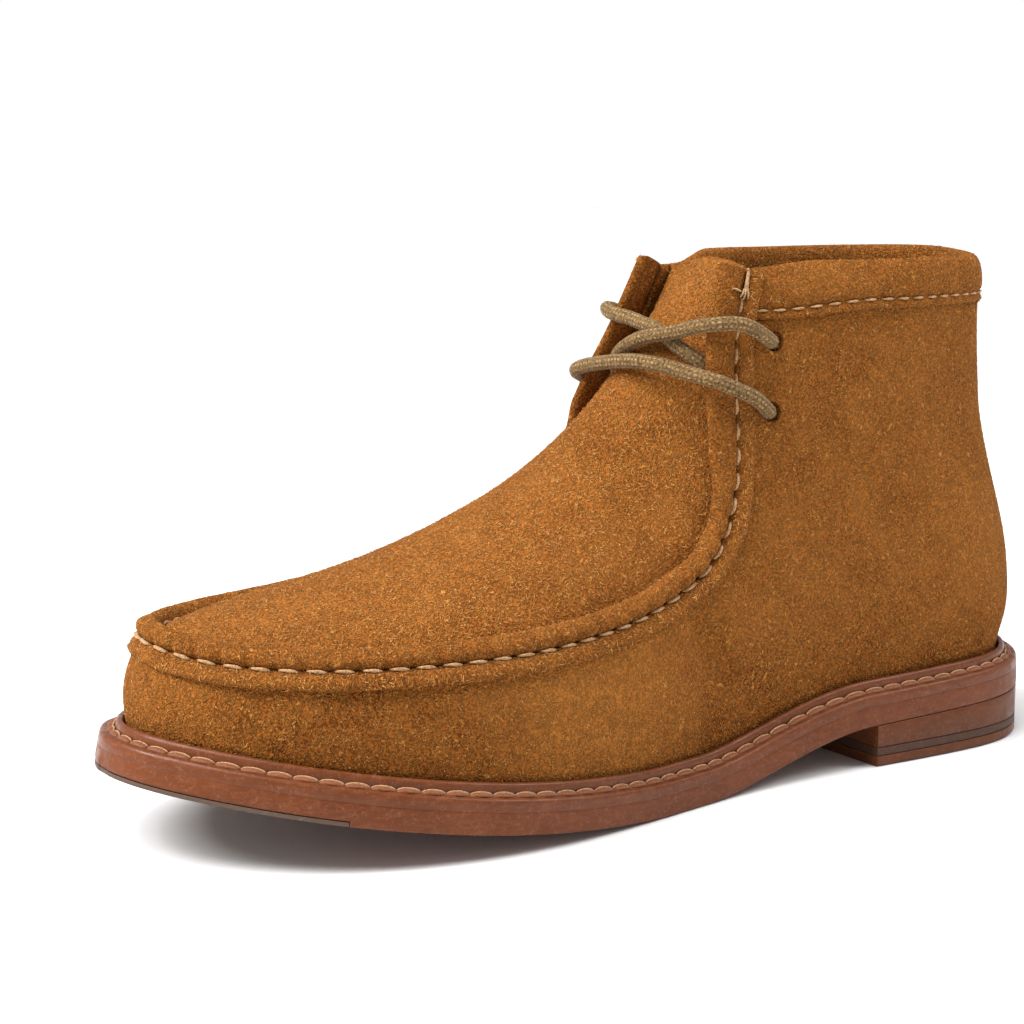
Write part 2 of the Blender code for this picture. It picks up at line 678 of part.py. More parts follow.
# ---- Lace ----------------------------------------------------------------------------
# Routes by hand in foot millimetres: across, forward, height. The bar lies over the throat
# between the lower eyelets; the two strands of the crossing come down from the upper ones.
LACE_BAR = (
    (29.25, 112.6, 105.2),
    (29.5, 118.0, 108.8),
    (29.2, 123.7, 111.6),
    (27.6, 131.1, 114.6),
    (23.0, 135.0, 116.1),
    (18.5, 137.0, 117.2),
    (11.0, 140.2, 118.6),
    (1.5, 142.4, 118.8),
    (-10.0, 143.3, 117.4),
    (-18.0, 143.4, 116.0),
    (-23.5, 143.0, 114.4),
    (-27.6, 138.5, 112.3),
    (-28.6, 131.0, 109.5),
    (-28.2, 123.0, 107.0),
    (-27.6, 116.5, 105.0),
)
LACE_OUTER_STRAND = (
    (27.6, 111.0, 124.4),
    (27.6, 116.4, 127.4),
    (27.0, 122.4, 129.8),
    (25.0, 128.8, 130.0),
    (18.3, 132.4, 128.7),
    (11.5, 134.5, 127.0),
    (5.0, 136.7, 125.9),
    (-1.2, 138.0, 124.1),
    (-7.0, 138.4, 121.2),
)
LACE_INNER_STRAND = (
    (-26.2, 110.5, 124.6),
    (-26.3, 118.0, 127.5),
    (-25.6, 126.2, 130.3),
    (-22.2, 133.2, 131.8),
    (-17.5, 135.2, 131.0),
    (-9.8, 134.8, 130.0),
    (-1.8, 134.3, 128.5),
    (2.8, 134.0, 127.6),
    (6.8, 132.7, 125.3),
    (10.9, 131.7, 122.8),
    (14.6, 130.6, 120.8),
)


def make_strand(name, route, mat, collection):
    """Round cord along a smooth curve through its route, as a closed mesh."""
    points = np.array(route)
    along = np.concatenate([[0.0], np.cumsum(np.linalg.norm(np.diff(points, axis=0), axis=1))])
    stations = int(along[-1] / (0.9 * LACE_DIAMETER)) + 2
    curve = bpy.data.curves.new(name, "CURVE")
    curve.dimensions = "3D"
    curve.bevel_depth = LACE_DIAMETER / 2 * MM
    curve.bevel_resolution = 2
    curve.use_fill_caps = True
    line = curve.splines.new("POLY")
    line.points.add(stations - 1)
    route_points = spline(along, points, np.linspace(0, along[-1], stations))
    for slot, place in zip(line.points, world(route_points)):
        slot.co = (*place, 1.0)
    guide = bpy.data.objects.new(name + "_curve", curve)
    bpy.context.scene.collection.objects.link(guide)
    evaluated = guide.evaluated_get(bpy.context.evaluated_depsgraph_get())
    mesh = bpy.data.meshes.new_from_object(evaluated)
    bm = bmesh.new()
    bm.from_mesh(mesh)
    bmesh.ops.remove_doubles(bm, verts=bm.verts, dist=0.01 * MM)
    bm.to_mesh(mesh)
    bm.free()
    mesh.shade_smooth()
    mesh.materials.clear()
    mesh.materials.append(mat)
    strand = bpy.data.objects.new(name, mesh)
    strand.matrix_world = guide.matrix_world
    collection.objects.link(strand)
    bpy.data.objects.remove(guide, do_unlink=True)
    return strand


def make_lace(parts, cutters):
    """Bar and crossing of the lace, clear of tongue, facings and eyelets."""
    mat = material("lace_cord", (0.28, 0.24, 0.16), 0.8)
    make_strand("lace_bar", LACE_BAR, mat, parts)
    crossing = make_strand("lace_crossing", LACE_OUTER_STRAND, mat, parts)
    inner = make_strand("inner_strand", LACE_INNER_STRAND, mat, cutters)
    inner.hide_render = True
    inner.display_type = "WIRE"
    join = crossing.modifiers.new("Joined where they cross", "BOOLEAN")
    join.operation = "UNION"
    join.object = inner


# ---- Assembly ------------------------------------------------------------------------
def new_collection(name):
    collection = bpy.data.collections.new(name)
    bpy.context.scene.collection.children.link(collection)
    return collection


def main():
    for obj in list(bpy.data.objects):
        bpy.data.objects.remove(obj, do_unlink=True)
    parts = new_collection("moccasin_boot")
    cutters = new_collection("cutters")
    make_outsole(parts)
    make_toe_plate(parts)
    make_welt(parts)
    make_insole(parts)
    make_heel(parts)
    make_upper(parts, cutters)
    make_apron_tongue(parts)
    make_rolled_binding(parts)
    make_collar(parts)
    make_lace(parts, cutters)


main()
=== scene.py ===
"""Looks of the moccasin boot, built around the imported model.

The shape functions work in foot millimetres, as the model's own source does: x is
across, with the outer side positive; forward is the distance from the back of the heel;
z is the height. world() turns them into metres in the shared frame.
"""
import math

import bmesh
import bpy
import numpy as np
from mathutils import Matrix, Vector, noise

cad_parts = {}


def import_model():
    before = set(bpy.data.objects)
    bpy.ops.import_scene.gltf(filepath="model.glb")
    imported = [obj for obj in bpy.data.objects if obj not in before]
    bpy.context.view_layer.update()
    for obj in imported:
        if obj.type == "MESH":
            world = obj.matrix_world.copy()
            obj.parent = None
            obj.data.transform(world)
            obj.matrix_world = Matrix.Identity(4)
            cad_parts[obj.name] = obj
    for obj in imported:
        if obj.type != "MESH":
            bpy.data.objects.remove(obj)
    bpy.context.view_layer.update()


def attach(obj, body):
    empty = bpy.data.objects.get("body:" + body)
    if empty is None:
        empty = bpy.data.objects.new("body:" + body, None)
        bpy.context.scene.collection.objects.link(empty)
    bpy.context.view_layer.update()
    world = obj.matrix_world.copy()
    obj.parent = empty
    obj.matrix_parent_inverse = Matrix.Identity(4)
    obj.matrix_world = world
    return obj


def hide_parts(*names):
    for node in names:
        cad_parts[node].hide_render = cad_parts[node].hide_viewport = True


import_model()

MM = 0.001
BODY = "root"

# ---- Sizes of the model, millimetres ----
SOLE_LENGTH = 300.0
HEEL_BACK_HEIGHT = 14.8
HEEL_FRONT_HEIGHT = 12.2
HEEL_LENGTH = 77.7
WAIST_END = 143.0
ROLL_START = 157.5
TOE_SPRING = 21.7
TOE_SPRING_POWER = 1.43
OUTSOLE_THICK = 6.0
WELT_TOP = 9.4
GAP = 0.3
WALL_INSET = 6.9
WALL_THICK = 2.0
APRON_THICK = 1.8
TOP_LINE = 144.3
RIDGE_X = -4.0
INSOLE_THICK = 2.6
TOE_PLATE_START = 255.0
TOE_PLATE_THICK = 1.2
TOP_PIECE = (0.0, 3.0)
HEEL_BAND = (3.15, 5.55)
HEEL_LIFT_BOTTOM = 5.7
LACE_RADIUS = 2.1
EYELET_RADIUS = 2.8

# Outline of the sole from above: forward, outer side, inner side.
OUTLINE = (
    (6, 18.8, -20),
    (20, 32, -33),
    (45, 37.2, -36),
    (80, 37.4, -33),
    (120, 38.6, -30),
    (160, 46, -37),
    (190, 51.7, -48),
    (215, 52.8, -53.5),
    (240, 49.1, -53),
    (262, 41.4, -48.1),
    (280, 30, -38.1),
    (291, 19.6, -27.2),
    (297.5, 9.4, -15.1),
)
TOE_TIP_X = -6.0

# How far the wall stands outside its foot, at heights above the feather edge.
WALL_HEIGHTS = (0, 4, 12, 24, 40, 62, 90, 120)
HEEL_SECTION = (0, 0.7, 3.2, 3.6, 1, -6, -10.8, -11.8)
TOE_SECTION = (0, 0.5, 0.5, -3.6, -8.6, -15, -23, -31)
LATERAL_SECTIONS = (          # forward, then one column for each of WALL_HEIGHTS
    (10, (0, 0.7, 2.8, 3.3, 1.2, -4.6, -8.6, -9.2)),
    (30, (0, 0.6, 1.9, 2.2, 1.2, -2.2, -5.1, -5.7)),
    (70, (0, 0.5, 2, 2.8, 2.5, 1.6, 0.6, 0)),
    (100, (0, 0.5, 1.9, 2.6, 2.4, 0.4, -2.9, -6)),
    (120, (0, 0.5, 1.8, 2.3, 1.5, -2, -6.4, -11)),
    (140, (0, 0.5, 1.4, 1.3, -0.8, -5.6, -12, -19)),
    (165, (0, 0.4, 1.2, 1, -2.4, -8, -15, -22)),
    (200, (0, 0.4, 1.1, 0.6, -3.6, -9.5, -17, -25)),
    (240, (0, 0.4, 0.9, -1.5, -6, -12, -20, -28)),
    (270, (0, 0.4, 0.8, -2.2, -6.5, -12.5, -20, -28)),
)
MEDIAL_SECTIONS = (
    (10, (0, 0.7, 2.8, 3.3, 1.2, -4.6, -8.8, -9.5)),
    (30, (0, 0.6, 1.9, 2.2, 1.2, -1.8, -4.4, -5)),
    (70, (0, 0.7, 2.8, 3.7, 3.8, 3.4, 2.9, 2.6)),
    (100, (0, 0.6, 3.2, 5.3, 6.1, 5.1, 2.7, 0)),
    (120, (0, 0.6, 3.4, 6, 7.2, 5.2, 1.4, -3.4)),
    (140, (0, 0.6, 3.2, 5.5, 6.4, 3.8, -1, -6.4)),
    (165, (0, 0.6, 2, 2.9, 1.9, -2.2, -8.5, -15)),
    (200, (0, 0.4, 1.2, 0.9, -2.4, -7.8, -15, -23)),
    (240, (0, 0.4, 0.9, -1, -5.4, -11.5, -19.5, -28)),
    (270, (0, 0.4, 0.8, -2, -6.4, -12.5, -20, -28)),
)

# The moccasin seam, from the top of the facings to the toe: ridge, where a rib of the
# apron meets the instep ridge; then for the outer side foot, forward and height, where
# the rib of the wall starts and where the seam lies; then the same for the inner side.
SEAM = (
    (111, 108, 112.3, 144.3, 109, 115, 144.3),
    (117.5, 112, 115.1, 133, 114.5, 119.6, 133),
    (125, 116, 117.3, 120, 121, 124.7, 121),
    (133, 120, 118.4, 105, 129.5, 130.4, 110),
    (141, 126, 119.6, 89, 138, 136, 98),
    (149, 134, 124.6, 73.5, 148, 143.5, 86.5),
    (157, 146, 135.2, 62, 157, 153, 76),
    (165, 160, 151, 55.2, 166, 164.5, 68),
    (174, 174, 168, 51.9, 178, 178, 61),
    (191, 192, 191, 50, 195, 196, 56.6),
    (213, 215, 215, 49.3, 215, 215, 53.3),
    (234, 240, 240, 49.1, 240, 240, 51.2),
    (251, 262, 262, 49.5, 262, 262, 50.6),
    (264, 280, 280, 50.5, 280, 280, 51),
    (274, 292, 292, 52.2, 292, 292, 52.5),
    (281, 300, 300, 54.4, 300, 300, 54.4),
)
TOE_ROW = len(SEAM) - 1
LAST_ROW = 2 * TOE_ROW
THROAT_ROWS = (3.6, 5.4)

# Instep ridge, from the top of the tongue to the toe: forward, height.
RIDGE = (
    (104, 153), (111, 147), (119, 140), (128, 130), (138, 118.5),
    (150, 106), (162, 96), (175, 86.8), (190, 79.2), (207, 72.7),
    (225, 67.5), (242, 64), (260, 61), (275, 58.3), (292, 55.6),
)
ARCH_POWER = 2.1

EYELETS = {                   # side (1 is the outer side), forward, height
    "lateral_upper": (1, 105.2, 124.3),
    "lateral_lower": (1, 107, 104.8),
    "medial_upper": (-1, 107, 124.3),
    "medial_lower": (-1, 113, 104.8),
}

# Soft folds of the wall: side, forward, height of the middle, half length,
# angle from level in degrees, half width, and how far it stands out or in.
FOLDS = (
    (1, 137, 40, 15, 72, 6, -2.3),
    (1, 123, 43, 16, 66, 7, 1.7),
    (1, 153, 35, 12, 66, 6.5, 1.4),
    (1, 60, 66, 30, 36, 9, -1.7),
    (1, 44, 54, 26, 40, 9, 1.4),
    (1, 86, 90, 24, 52, 9, -1.3),
    (1, 30, 100, 22, 5, 8, -0.5),
    (1, 205, 34, 12, 74, 6, -0.35),
    (1, 222, 34, 12, 80, 7, 0.3),
    (-1, 128, 46, 18, 75, 8, -0.9),
    (-1, 112, 52, 18, 80, 9, 0.6),
    (-1, 66, 70, 28, 35, 10, -0.6),
    (-1, 90, 96, 22, 60, 9, -0.5),
    (-1, 200, 36, 12, 76, 6, -0.4),
    (-1, 180, 42, 14, 70, 7, 0.4),
)
EYELET_DISH = 0.7             # the suede sinks this far round each eyelet
TOE_SEAM_DEPTH = 0.35         # faint upright seam in the middle of the toe


# ---- Curves ----
def spline(knots, values, at):
    """Natural cubic spline through the rows of values."""
    knots = np.asarray(knots, float)
    values = np.asarray(values, float)
    at = np.asarray(at, float)
    steps = np.diff(knots)
    count = len(knots)
    system = np.eye(count)
    right = np.zeros_like(values)
    for i in range(1, count - 1):
        system[i, i - 1:i + 2] = steps[i - 1], 2 * (steps[i - 1] + steps[i]), steps[i]
        rise = (values[i + 1] - values[i]) / steps[i] - (values[i] - values[i - 1]) / steps[i - 1]
        right[i] = 6 * rise
    bend = np.linalg.solve(system, right)
    k = np.clip(np.searchsorted(knots, at) - 1, 0, count - 2)
    span = steps[k]
    a = (knots[k + 1] - at) / span
    b = 1 - a
    if values.ndim == 2:
        a, b, span = a[:, None], b[:, None], span[:, None]
    low, high = values[k], values[k + 1]
    curve = (a ** 3 - a) * bend[k] + (b ** 3 - b) * bend[k + 1]
    return a * low + b * high + curve * span ** 2 / 6


def smooth_step(low, high, at):
    """0 below low, 1 above high, with soft ends."""
    t = np.clip((np.asarray(at, float) - low) / (high - low), 0, 1)
    return t * t * (3 - 2 * t)


def bell(at, width):
    return np.exp(-(np.asarray(at, float) / width) ** 2)


def unit(vectors):
    return vectors / np.maximum(np.linalg.norm(vectors, axis=-1, keepdims=True), 1e-12)


def blend(first, second, weight):
    weight = weight[..., None]
    return first * (1 - weight) + second * weight


def arc_length(points):
    """Distance along a line of points, from its start."""
    return np.concatenate([[0.0], np.cumsum(np.linalg.norm(np.diff(points, axis=0), axis=1))])


def curve_through(points, spacing):
    """Evenly spaced points on a smooth curve through hand-placed ones."""
    points = np.asarray(points, float)
    along = arc_length(points)
    return spline(along, points, np.linspace(0, along[-1], int(along[-1] / spacing) + 2))


def closed_curve(points, count):
    """Smooth closed outline through its corners, for a section."""
    points = np.asarray(points, float)
    wrapped = np.vstack([points[-3:], points, points[:4]])
    along = arc_length(wrapped)
    at = np.linspace(along[3], along[3 + len(points)], count, endpoint=False)
    return spline(along, wrapped, at)


# ---- Sole outline and profile ----
def make_ring():
    """Sole outline as a dense ring: 0 at the back of the heel, 1 at the toe tip."""
    lateral = [(row[1], row[0]) for row in OUTLINE]
    medial = [(row[2], row[0]) for row in reversed(OUTLINE)]
    loop = np.array([(0.0, 0.0)] + lateral + [(TOE_TIP_X, SOLE_LENGTH)] + medial)
    toe = len(lateral) + 1
    wrapped = np.vstack([loop[-4:], loop, loop[:5]])
    along = arc_length(wrapped)
    start, tip, end = along[4], along[4 + toe], along[4 + len(loop)]
    ring = np.linspace(0, 2, 3201)
    at = np.where(ring < 1, start + ring * (tip - start), tip + (ring - 1) * (end - tip))
    points = spline(along, wrapped, at)
    points[-1] = points[0]
    slope = spline(along, wrapped, at + 0.05) - spline(along, wrapped, at - 0.05)
    outward = unit(np.stack([slope[:, 1], -slope[:, 0]], axis=-1))
    return ring, points, outward, (end - start) / 2


RING, RING_POINTS, RING_OUTWARD, HALF_ROUND = make_ring()
HALF = len(RING) // 2
X_MIDDLE = (RING_POINTS[:, 0].max() + RING_POINTS[:, 0].min()) / 2
FORWARD_MIDDLE = (RING_POINTS[:, 1].max() + RING_POINTS[:, 1].min()) / 2


def ring_at(side, forward):
    """Ring coordinate of the outline point at this distance from the heel."""
    if side > 0:
        return np.interp(forward, RING_POINTS[:HALF + 1, 1], RING[:HALF + 1])
    return np.interp(forward, RING_POINTS[HALF:, 1][::-1], RING[HALF:][::-1])


def outline_at(ring, inset=0.0):
    """Outline point and outward direction; inset may be one value or one a point."""
    ring = np.mod(ring, 2.0)
    point, outward = (np.stack([np.interp(ring, RING, column) for column in table.T], axis=-1)
                      for table in (RING_POINTS, RING_OUTWARD))
    outward = unit(outward)
    return point - outward * np.asarray(inset, float)[..., None], outward


def sole_height(forward):
    """Height of the underside of the outsole."""
    slope = (HEEL_FRONT_HEIGHT - HEEL_BACK_HEIGHT) / HEEL_LENGTH
    seat = HEEL_BACK_HEIGHT + slope * forward
    run = WAIST_END - HEEL_LENGTH
    t = np.clip((forward - HEEL_LENGTH) / run, 0, 1)
    waist = HEEL_FRONT_HEIGHT * (2 * t ** 3 - 3 * t ** 2 + 1)
    waist = waist + slope * run * (t ** 3 - 2 * t ** 2 + t)
    toe = np.clip((forward - ROLL_START) / (SOLE_LENGTH - ROLL_START), 0, None)
    return np.where(forward < HEEL_LENGTH, seat, waist) + TOE_SPRING * toe ** TOE_SPRING_POWER


def on_sole(plan, height):
    """Point above the sole: height is measured square to the sole's own curve."""
    slope = sole_height(plan[..., 1] + 0.5) - sole_height(plan[..., 1] - 0.5)
    length = np.sqrt(1 + slope ** 2)
    forward = plan[..., 1] - height * slope / length
    z = sole_height(plan[..., 1]) + height / length
    return np.stack([plan[..., 0], forward, z], axis=-1)


# ---- Last: the outer face of the wall ----
RISES = (-4.0, 140.0, 0.5)    # heights above the wall's foot in its table: from, to, step


def standing_table():
    """The wall's sections on a fine grid of ring coordinate and height above its foot."""
    rows = [(0.0, HEEL_SECTION)]
    rows += [(float(ring_at(1, forward)), row) for forward, row in LATERAL_SECTIONS]
    rows += [(1.0, TOE_SECTION)]
    rows += [(float(ring_at(-1, forward)), row) for forward, row in reversed(MEDIAL_SECTIONS)]
    rings = np.array([ring for ring, row in rows])
    values = np.array([row for ring, row in rows])
    rings = np.concatenate([rings[-5:] - 2, rings, rings[:6] + 2])
    values = np.vstack([values[-5:], values, values[:6]])
    columns = spline(rings, values, np.linspace(0, 2, 801))
    rises = np.arange(*RISES)
    return np.array([spline(WALL_HEIGHTS, row, rises) for row in columns])


STANDING = standing_table()


def standing_at(ring, rise):
    across = np.clip(ring / 2 * (len(STANDING) - 1), 0, len(STANDING) - 1.001)
    up = np.clip((rise - RISES[0]) / RISES[2], 0, STANDING.shape[1] - 1.001)
    i, j = across.astype(int), up.astype(int)
    a, b = across - i, up - j
    low = STANDING[i, j] * (1 - b) + STANDING[i, j + 1] * b
    high = STANDING[i + 1, j] * (1 - b) + STANDING[i + 1, j + 1] * b
    return low * (1 - a) + high * a


def relief(ring, z):
    """How far folds, eyelets and the toe's upright seam move the wall out or in."""
    forward = np.interp(ring, RING, RING_POINTS[:, 1])
    outer = ring < 1
    total = -TOE_SEAM_DEPTH * bell((ring - 1) * HALF_ROUND, 0.8)
    for side, middle, height, length, angle, width, depth in FOLDS:
        turn = math.radians(angle)
        run = (forward - middle) * math.cos(turn) + (z - height) * math.sin(turn)
        off = (z - height) * math.cos(turn) - (forward - middle) * math.sin(turn)
        total = total + (outer == (side > 0)) * depth * bell(run, length) * bell(off, width)
    for side, middle, height in EYELETS.values():
        away = np.hypot((ring - ring_at(side, middle)) * HALF_ROUND, z - height)
        total = total - EYELET_DISH * bell(away, 4.2)
    return total


def wall_foot(ring):
    """Lower edge of the wall's outer face, just above the welt's rim."""
    plan, outward = outline_at(ring, WALL_INSET)
    return on_sole(plan, WELT_TOP + 2 * GAP), outward


def wall_point(ring, z):
    """Point of the wall's outer face at a ring coordinate and a height."""
    ring = np.mod(np.asarray(ring, float), 2.0)
    z = np.asarray(z, float)
    foot, outward = wall_foot(ring)
    shift = outward * (standing_at(ring, z - foot[..., 2]) + relief(ring, z))[..., None]
    return np.stack([foot[..., 0] + shift[..., 0], foot[..., 1] + shift[..., 1], z], axis=-1)


def wall_frame(ring, z):
    """Point on the wall with its unit normal, outwards."""
    point = wall_point(ring, z)
    along = wall_point(ring + 0.002, z) - wall_point(ring - 0.002, z)
    up = wall_point(ring, z + 0.4) - wall_point(ring, z - 0.4)
    return point, unit(np.cross(along, up))


# ---- Moccasin seam ----
def seam_table():
    """Foot ring, seam ring and seam height of each row, outer side first."""
    rows = [(ring_at(1, row[1]), ring_at(1, row[2]), row[3]) for row in SEAM[:-1]]
    rows += [(1.0, 1.0, SEAM[-1][3])]
    rows += [(ring_at(-1, row[4]), ring_at(-1, row[5]), row[6]) for row in reversed(SEAM[:-1])]
    return np.array(rows, float)


SEAM_ROWS = seam_table()


def seam_at(row):
    """Foot ring, seam ring, seam height at a fractional row."""
    return spline(np.arange(len(SEAM_ROWS)), SEAM_ROWS, row).T


def side_row(row):
    """Rows counted from the top of either facing."""
    return TOE_ROW - np.abs(row - TOE_ROW)


def freedom(row):
    """1 where the facing is free, 0 where wall and apron are sewn together."""
    return 1 - smooth_step(*THROAT_ROWS, side_row(row))


def seam_frame(row):
    """Seam point, wall normal, direction in the wall away from its edge, along the seam."""
    point, normal = wall_frame(*seam_at(row)[1:])
    beside = (seam_at(np.clip(row + step, 0, LAST_ROW)) for step in (-0.05, 0.05))
    behind, ahead = (wall_point(ring, z) for _, ring, z in beside)
    along = unit(ahead - behind)
    return point, normal, unit(np.cross(along, normal)), along


def ridge_height(forward):
    return spline(*zip(*RIDGE), forward)


def apron_point(row, t):
    """Outer face of the apron and tongue: t is 0 on the ridge and 1 at the seam."""
    ridge_forward = spline(np.arange(len(SEAM)), [line[0] for line in SEAM], side_row(row))
    point, normal = seam_frame(row)[:2]
    inside = WALL_THICK + 0.6 + 2.6 * (1 - smooth_step(0.5, 3.5, side_row(row)))
    edge = point - normal * inside[:, None]
    fan = 1 - smooth_step(200, 245, ridge_forward)
    bend = t ** ARCH_POWER
    x = RIDGE_X + (edge[:, 0] - RIDGE_X) * t
    forward = ridge_forward + (edge[:, 1] - ridge_forward) * (t * (1 - fan) + bend * fan)
    drop = ridge_height(edge[:, 1]) - edge[:, 2]
    return np.stack([x, forward, ridge_height(forward) - drop * bend], axis=-1)


def apron_frame(row, t):
    """Apron point with its unit normal, upwards."""
    inner, outer = (apron_point(row, np.clip(t + step, 0, 1)) for step in (-0.01, 0.01))
    behind, ahead = (apron_point(np.clip(row + step, 0, LAST_ROW), t) for step in (-0.05, 0.05))
    normal = unit(np.cross(outer - inner, ahead - behind))
    return apron_point(row, t), normal * np.where(normal[:, 2:3] < 0, -1, 1)


def inward_from_seam(rows, distance):
    """The apron's t at distances inward from its edge, in millimetres."""
    edge = np.ones(len(rows))
    speed = np.linalg.norm(apron_point(rows, edge) - apron_point(rows, 0.95 * edge), axis=1) / 0.05
    return 1 - distance / speed


SEAM_FINE = np.linspace(0, LAST_ROW, 3001)
SEAM_LENGTHS = arc_length(seam_frame(SEAM_FINE)[0])
SEAM_TOTAL = SEAM_LENGTHS[-1]
SEAM_PITCH = 7.0
SEAM_STITCHES = round(SEAM_TOTAL / SEAM_PITCH)
SEAM_STEP = SEAM_TOTAL / SEAM_STITCHES


def row_at(length):
    """Fractional row of the seam at a distance along it."""
    return np.interp(length, SEAM_LENGTHS, SEAM_FINE)


def pinch_at(length):
    """1 at the holes between two stitches of the seam, falling to 0 in between."""
    phase = length / SEAM_STEP
    return bell((phase - np.round(phase)) * SEAM_PITCH, 1.1)


# ---- Meshes ----
def world(points):
    """Foot millimetres to metres in the shared frame."""
    x = points[..., 0] - X_MIDDLE
    y = FORWARD_MIDDLE - points[..., 1]
    return np.stack([x, y, points[..., 2]], axis=-1) * MM


def add_object(name, data):
    obj = bpy.data.objects.new(name, data)
    bpy.context.scene.collection.objects.link(obj)
    return obj


def mesh_from(name, bm):
    """Mesh of a bmesh, which is freed."""
    mesh = bpy.data.meshes.new(name)
    bm.to_mesh(mesh)
    bm.free()
    return mesh


def add_piece(name, points, faces, mat):
    """A smooth piece on the body, from points in foot millimetres."""
    mesh = bpy.data.meshes.new(name)
    mesh.from_pydata(world(points).tolist(), [], faces)
    mesh.materials.append(mat)
    mesh.shade_smooth()
    obj = add_object(name, mesh)
    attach(obj, BODY)
    return obj


class Shape:
    """Collects swept bodies, in foot millimetres, and makes one mesh of them."""

    def __init__(self):
        self.points = []
        self.faces = []
        self.places = []
        self.count = 0

    def sweep(self, sections, closed=False):
        """Skin over sections[station][corner]; open ends are capped."""
        sections = np.asarray(sections, float)
        stations, corners = sections.shape[:2]
        along = arc_length(sections.mean(axis=1))
        last = stations if closed else stations - 1
        i, j = np.meshgrid(np.arange(last), np.arange(corners), indexing="ij")
        i, j = i.ravel(), j.ravel()
        ahead, beside = (i + 1) % stations, (j + 1) % corners
        quads = np.stack([i * corners + j, i * corners + beside, ahead * corners + beside,
                          ahead * corners + j], axis=1)
        reach = np.append(along, along[-1] + 1.0)
        s0, s1, v0, v1 = reach[i], reach[i + 1], j / corners, (j + 1) / corners
        uv = np.stack([s0, v0, s0, v1, s1, v1, s1, v0], axis=1).reshape(-1, 4, 2)
        self.faces += (quads + self.count).tolist()
        self.places += uv.reshape(-1, 2).tolist()
        if not closed:
            for first, s in ((0, 0.0), ((stations - 1) * corners, along[-1])):
                self.faces.append([self.count + first + k for k in range(corners)])
                self.places += [[s, k / corners] for k in range(corners)]
        self.points.append(sections.reshape(-1, 3))
        self.count += stations * corners

    def finish(self, name, mat, slot, replaces=(), merge=0.0, sharp=None):
        obj = add_piece(name, np.vstack(self.points), self.faces, mat)
        mesh = obj.data
        layer = mesh.uv_layers.new(name="along_round")
        layer.data.foreach_set("uv", np.array(self.places, np.float32).ravel())
        bm = bmesh.new()
        bm.from_mesh(mesh)
        if merge:
            bmesh.ops.remove_doubles(bm, verts=bm.verts, dist=merge * MM)
            bmesh.ops.dissolve_degenerate(bm, edges=bm.edges, dist=0.002 * MM)
        bmesh.ops.recalc_face_normals(bm, faces=bm.faces)
        bm.to_mesh(mesh)
        bm.free()
        if sharp:
            mesh.set_sharp_from_angle(angle=math.radians(sharp))
        if replaces:
            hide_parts(*replaces)
        return obj


def skin(sections, name, mat, slot, replaces=(), closed=False, **how):
    """A piece made by one sweep."""
    shape = Shape()
    shape.sweep(sections, closed)
    return shape.finish(name, mat, slot, replaces, **how)


def ripple(points, size, seed):
    """Smooth random value from -1 to 1 at each point; size is its length in mm."""
    shift = Vector((seed * 17.3, seed * 5.1, seed * 9.7))
    flat = np.asarray(points, float).reshape(-1, 3) / size
    values = [noise.noise(Vector(p) + shift) for p in flat.tolist()]
    return np.array(values).reshape(np.asarray(points).shape[:-1])


def carried_side(ahead):
    """Direction square to a line, carried along it without twist."""
    side = np.cross(ahead[0], (0.0, 0.3, 1.0))
    sides = []
    for direction in ahead:
        side = unit(side - direction * np.dot(side, direction))
        sides.append(side)
    return np.array(sides)


def tube(line, radius, sides, flat=1.0, across=None):
    """Sections of a round or flattened thread along a line; radius is one or many."""
    ahead = unit(np.gradient(line, axis=0))
    if across is None:
        first = carried_side(ahead)
    else:
        first = unit(across - ahead * np.sum(across * ahead, axis=1, keepdims=True))
    second = np.cross(ahead, first)
    angle = np.linspace(0, 2 * math.pi, sides, endpoint=False)
    radius = np.asarray(radius, float)
    if radius.ndim == 1:
        radius = radius[:, None]
    x = (radius * np.cos(angle))[..., None] * first[:, None]
    y = (radius * np.sin(angle) * flat)[..., None] * second[:, None]
    return line[:, None] + x + y


def stitch(shape, line, radius):
    """One stitch: a flattened two-ply thread that thins where it dives into its holes."""
    t = np.linspace(0, 1, len(line))
    body = radius * np.clip(np.sin(math.pi * t), 0, 1) ** 0.45 + 0.05
    angle = np.linspace(0, 2 * math.pi, 8, endpoint=False)
    ply = 1 + 0.13 * np.cos(2 * angle[None] - 9.0 * t[:, None])
    shape.sweep(tube(line, body[:, None] * ply, 8, 0.8))


FIBRE_BENDS = (0.0, 0.5, 1.0)  # where along a fibre its three-cornered sections lie
FIBRE_CORNERS = (0.5, 2.6, 4.7)
FIBRE_QUADS = [(k, (k + 1) % 3, 3 + (k + 1) % 3, 3 + k) for k in range(3)]
FIBRE_ENDS = [(3, 4, 6), (4, 5, 6), (5, 3, 6), (2, 1, 0)]


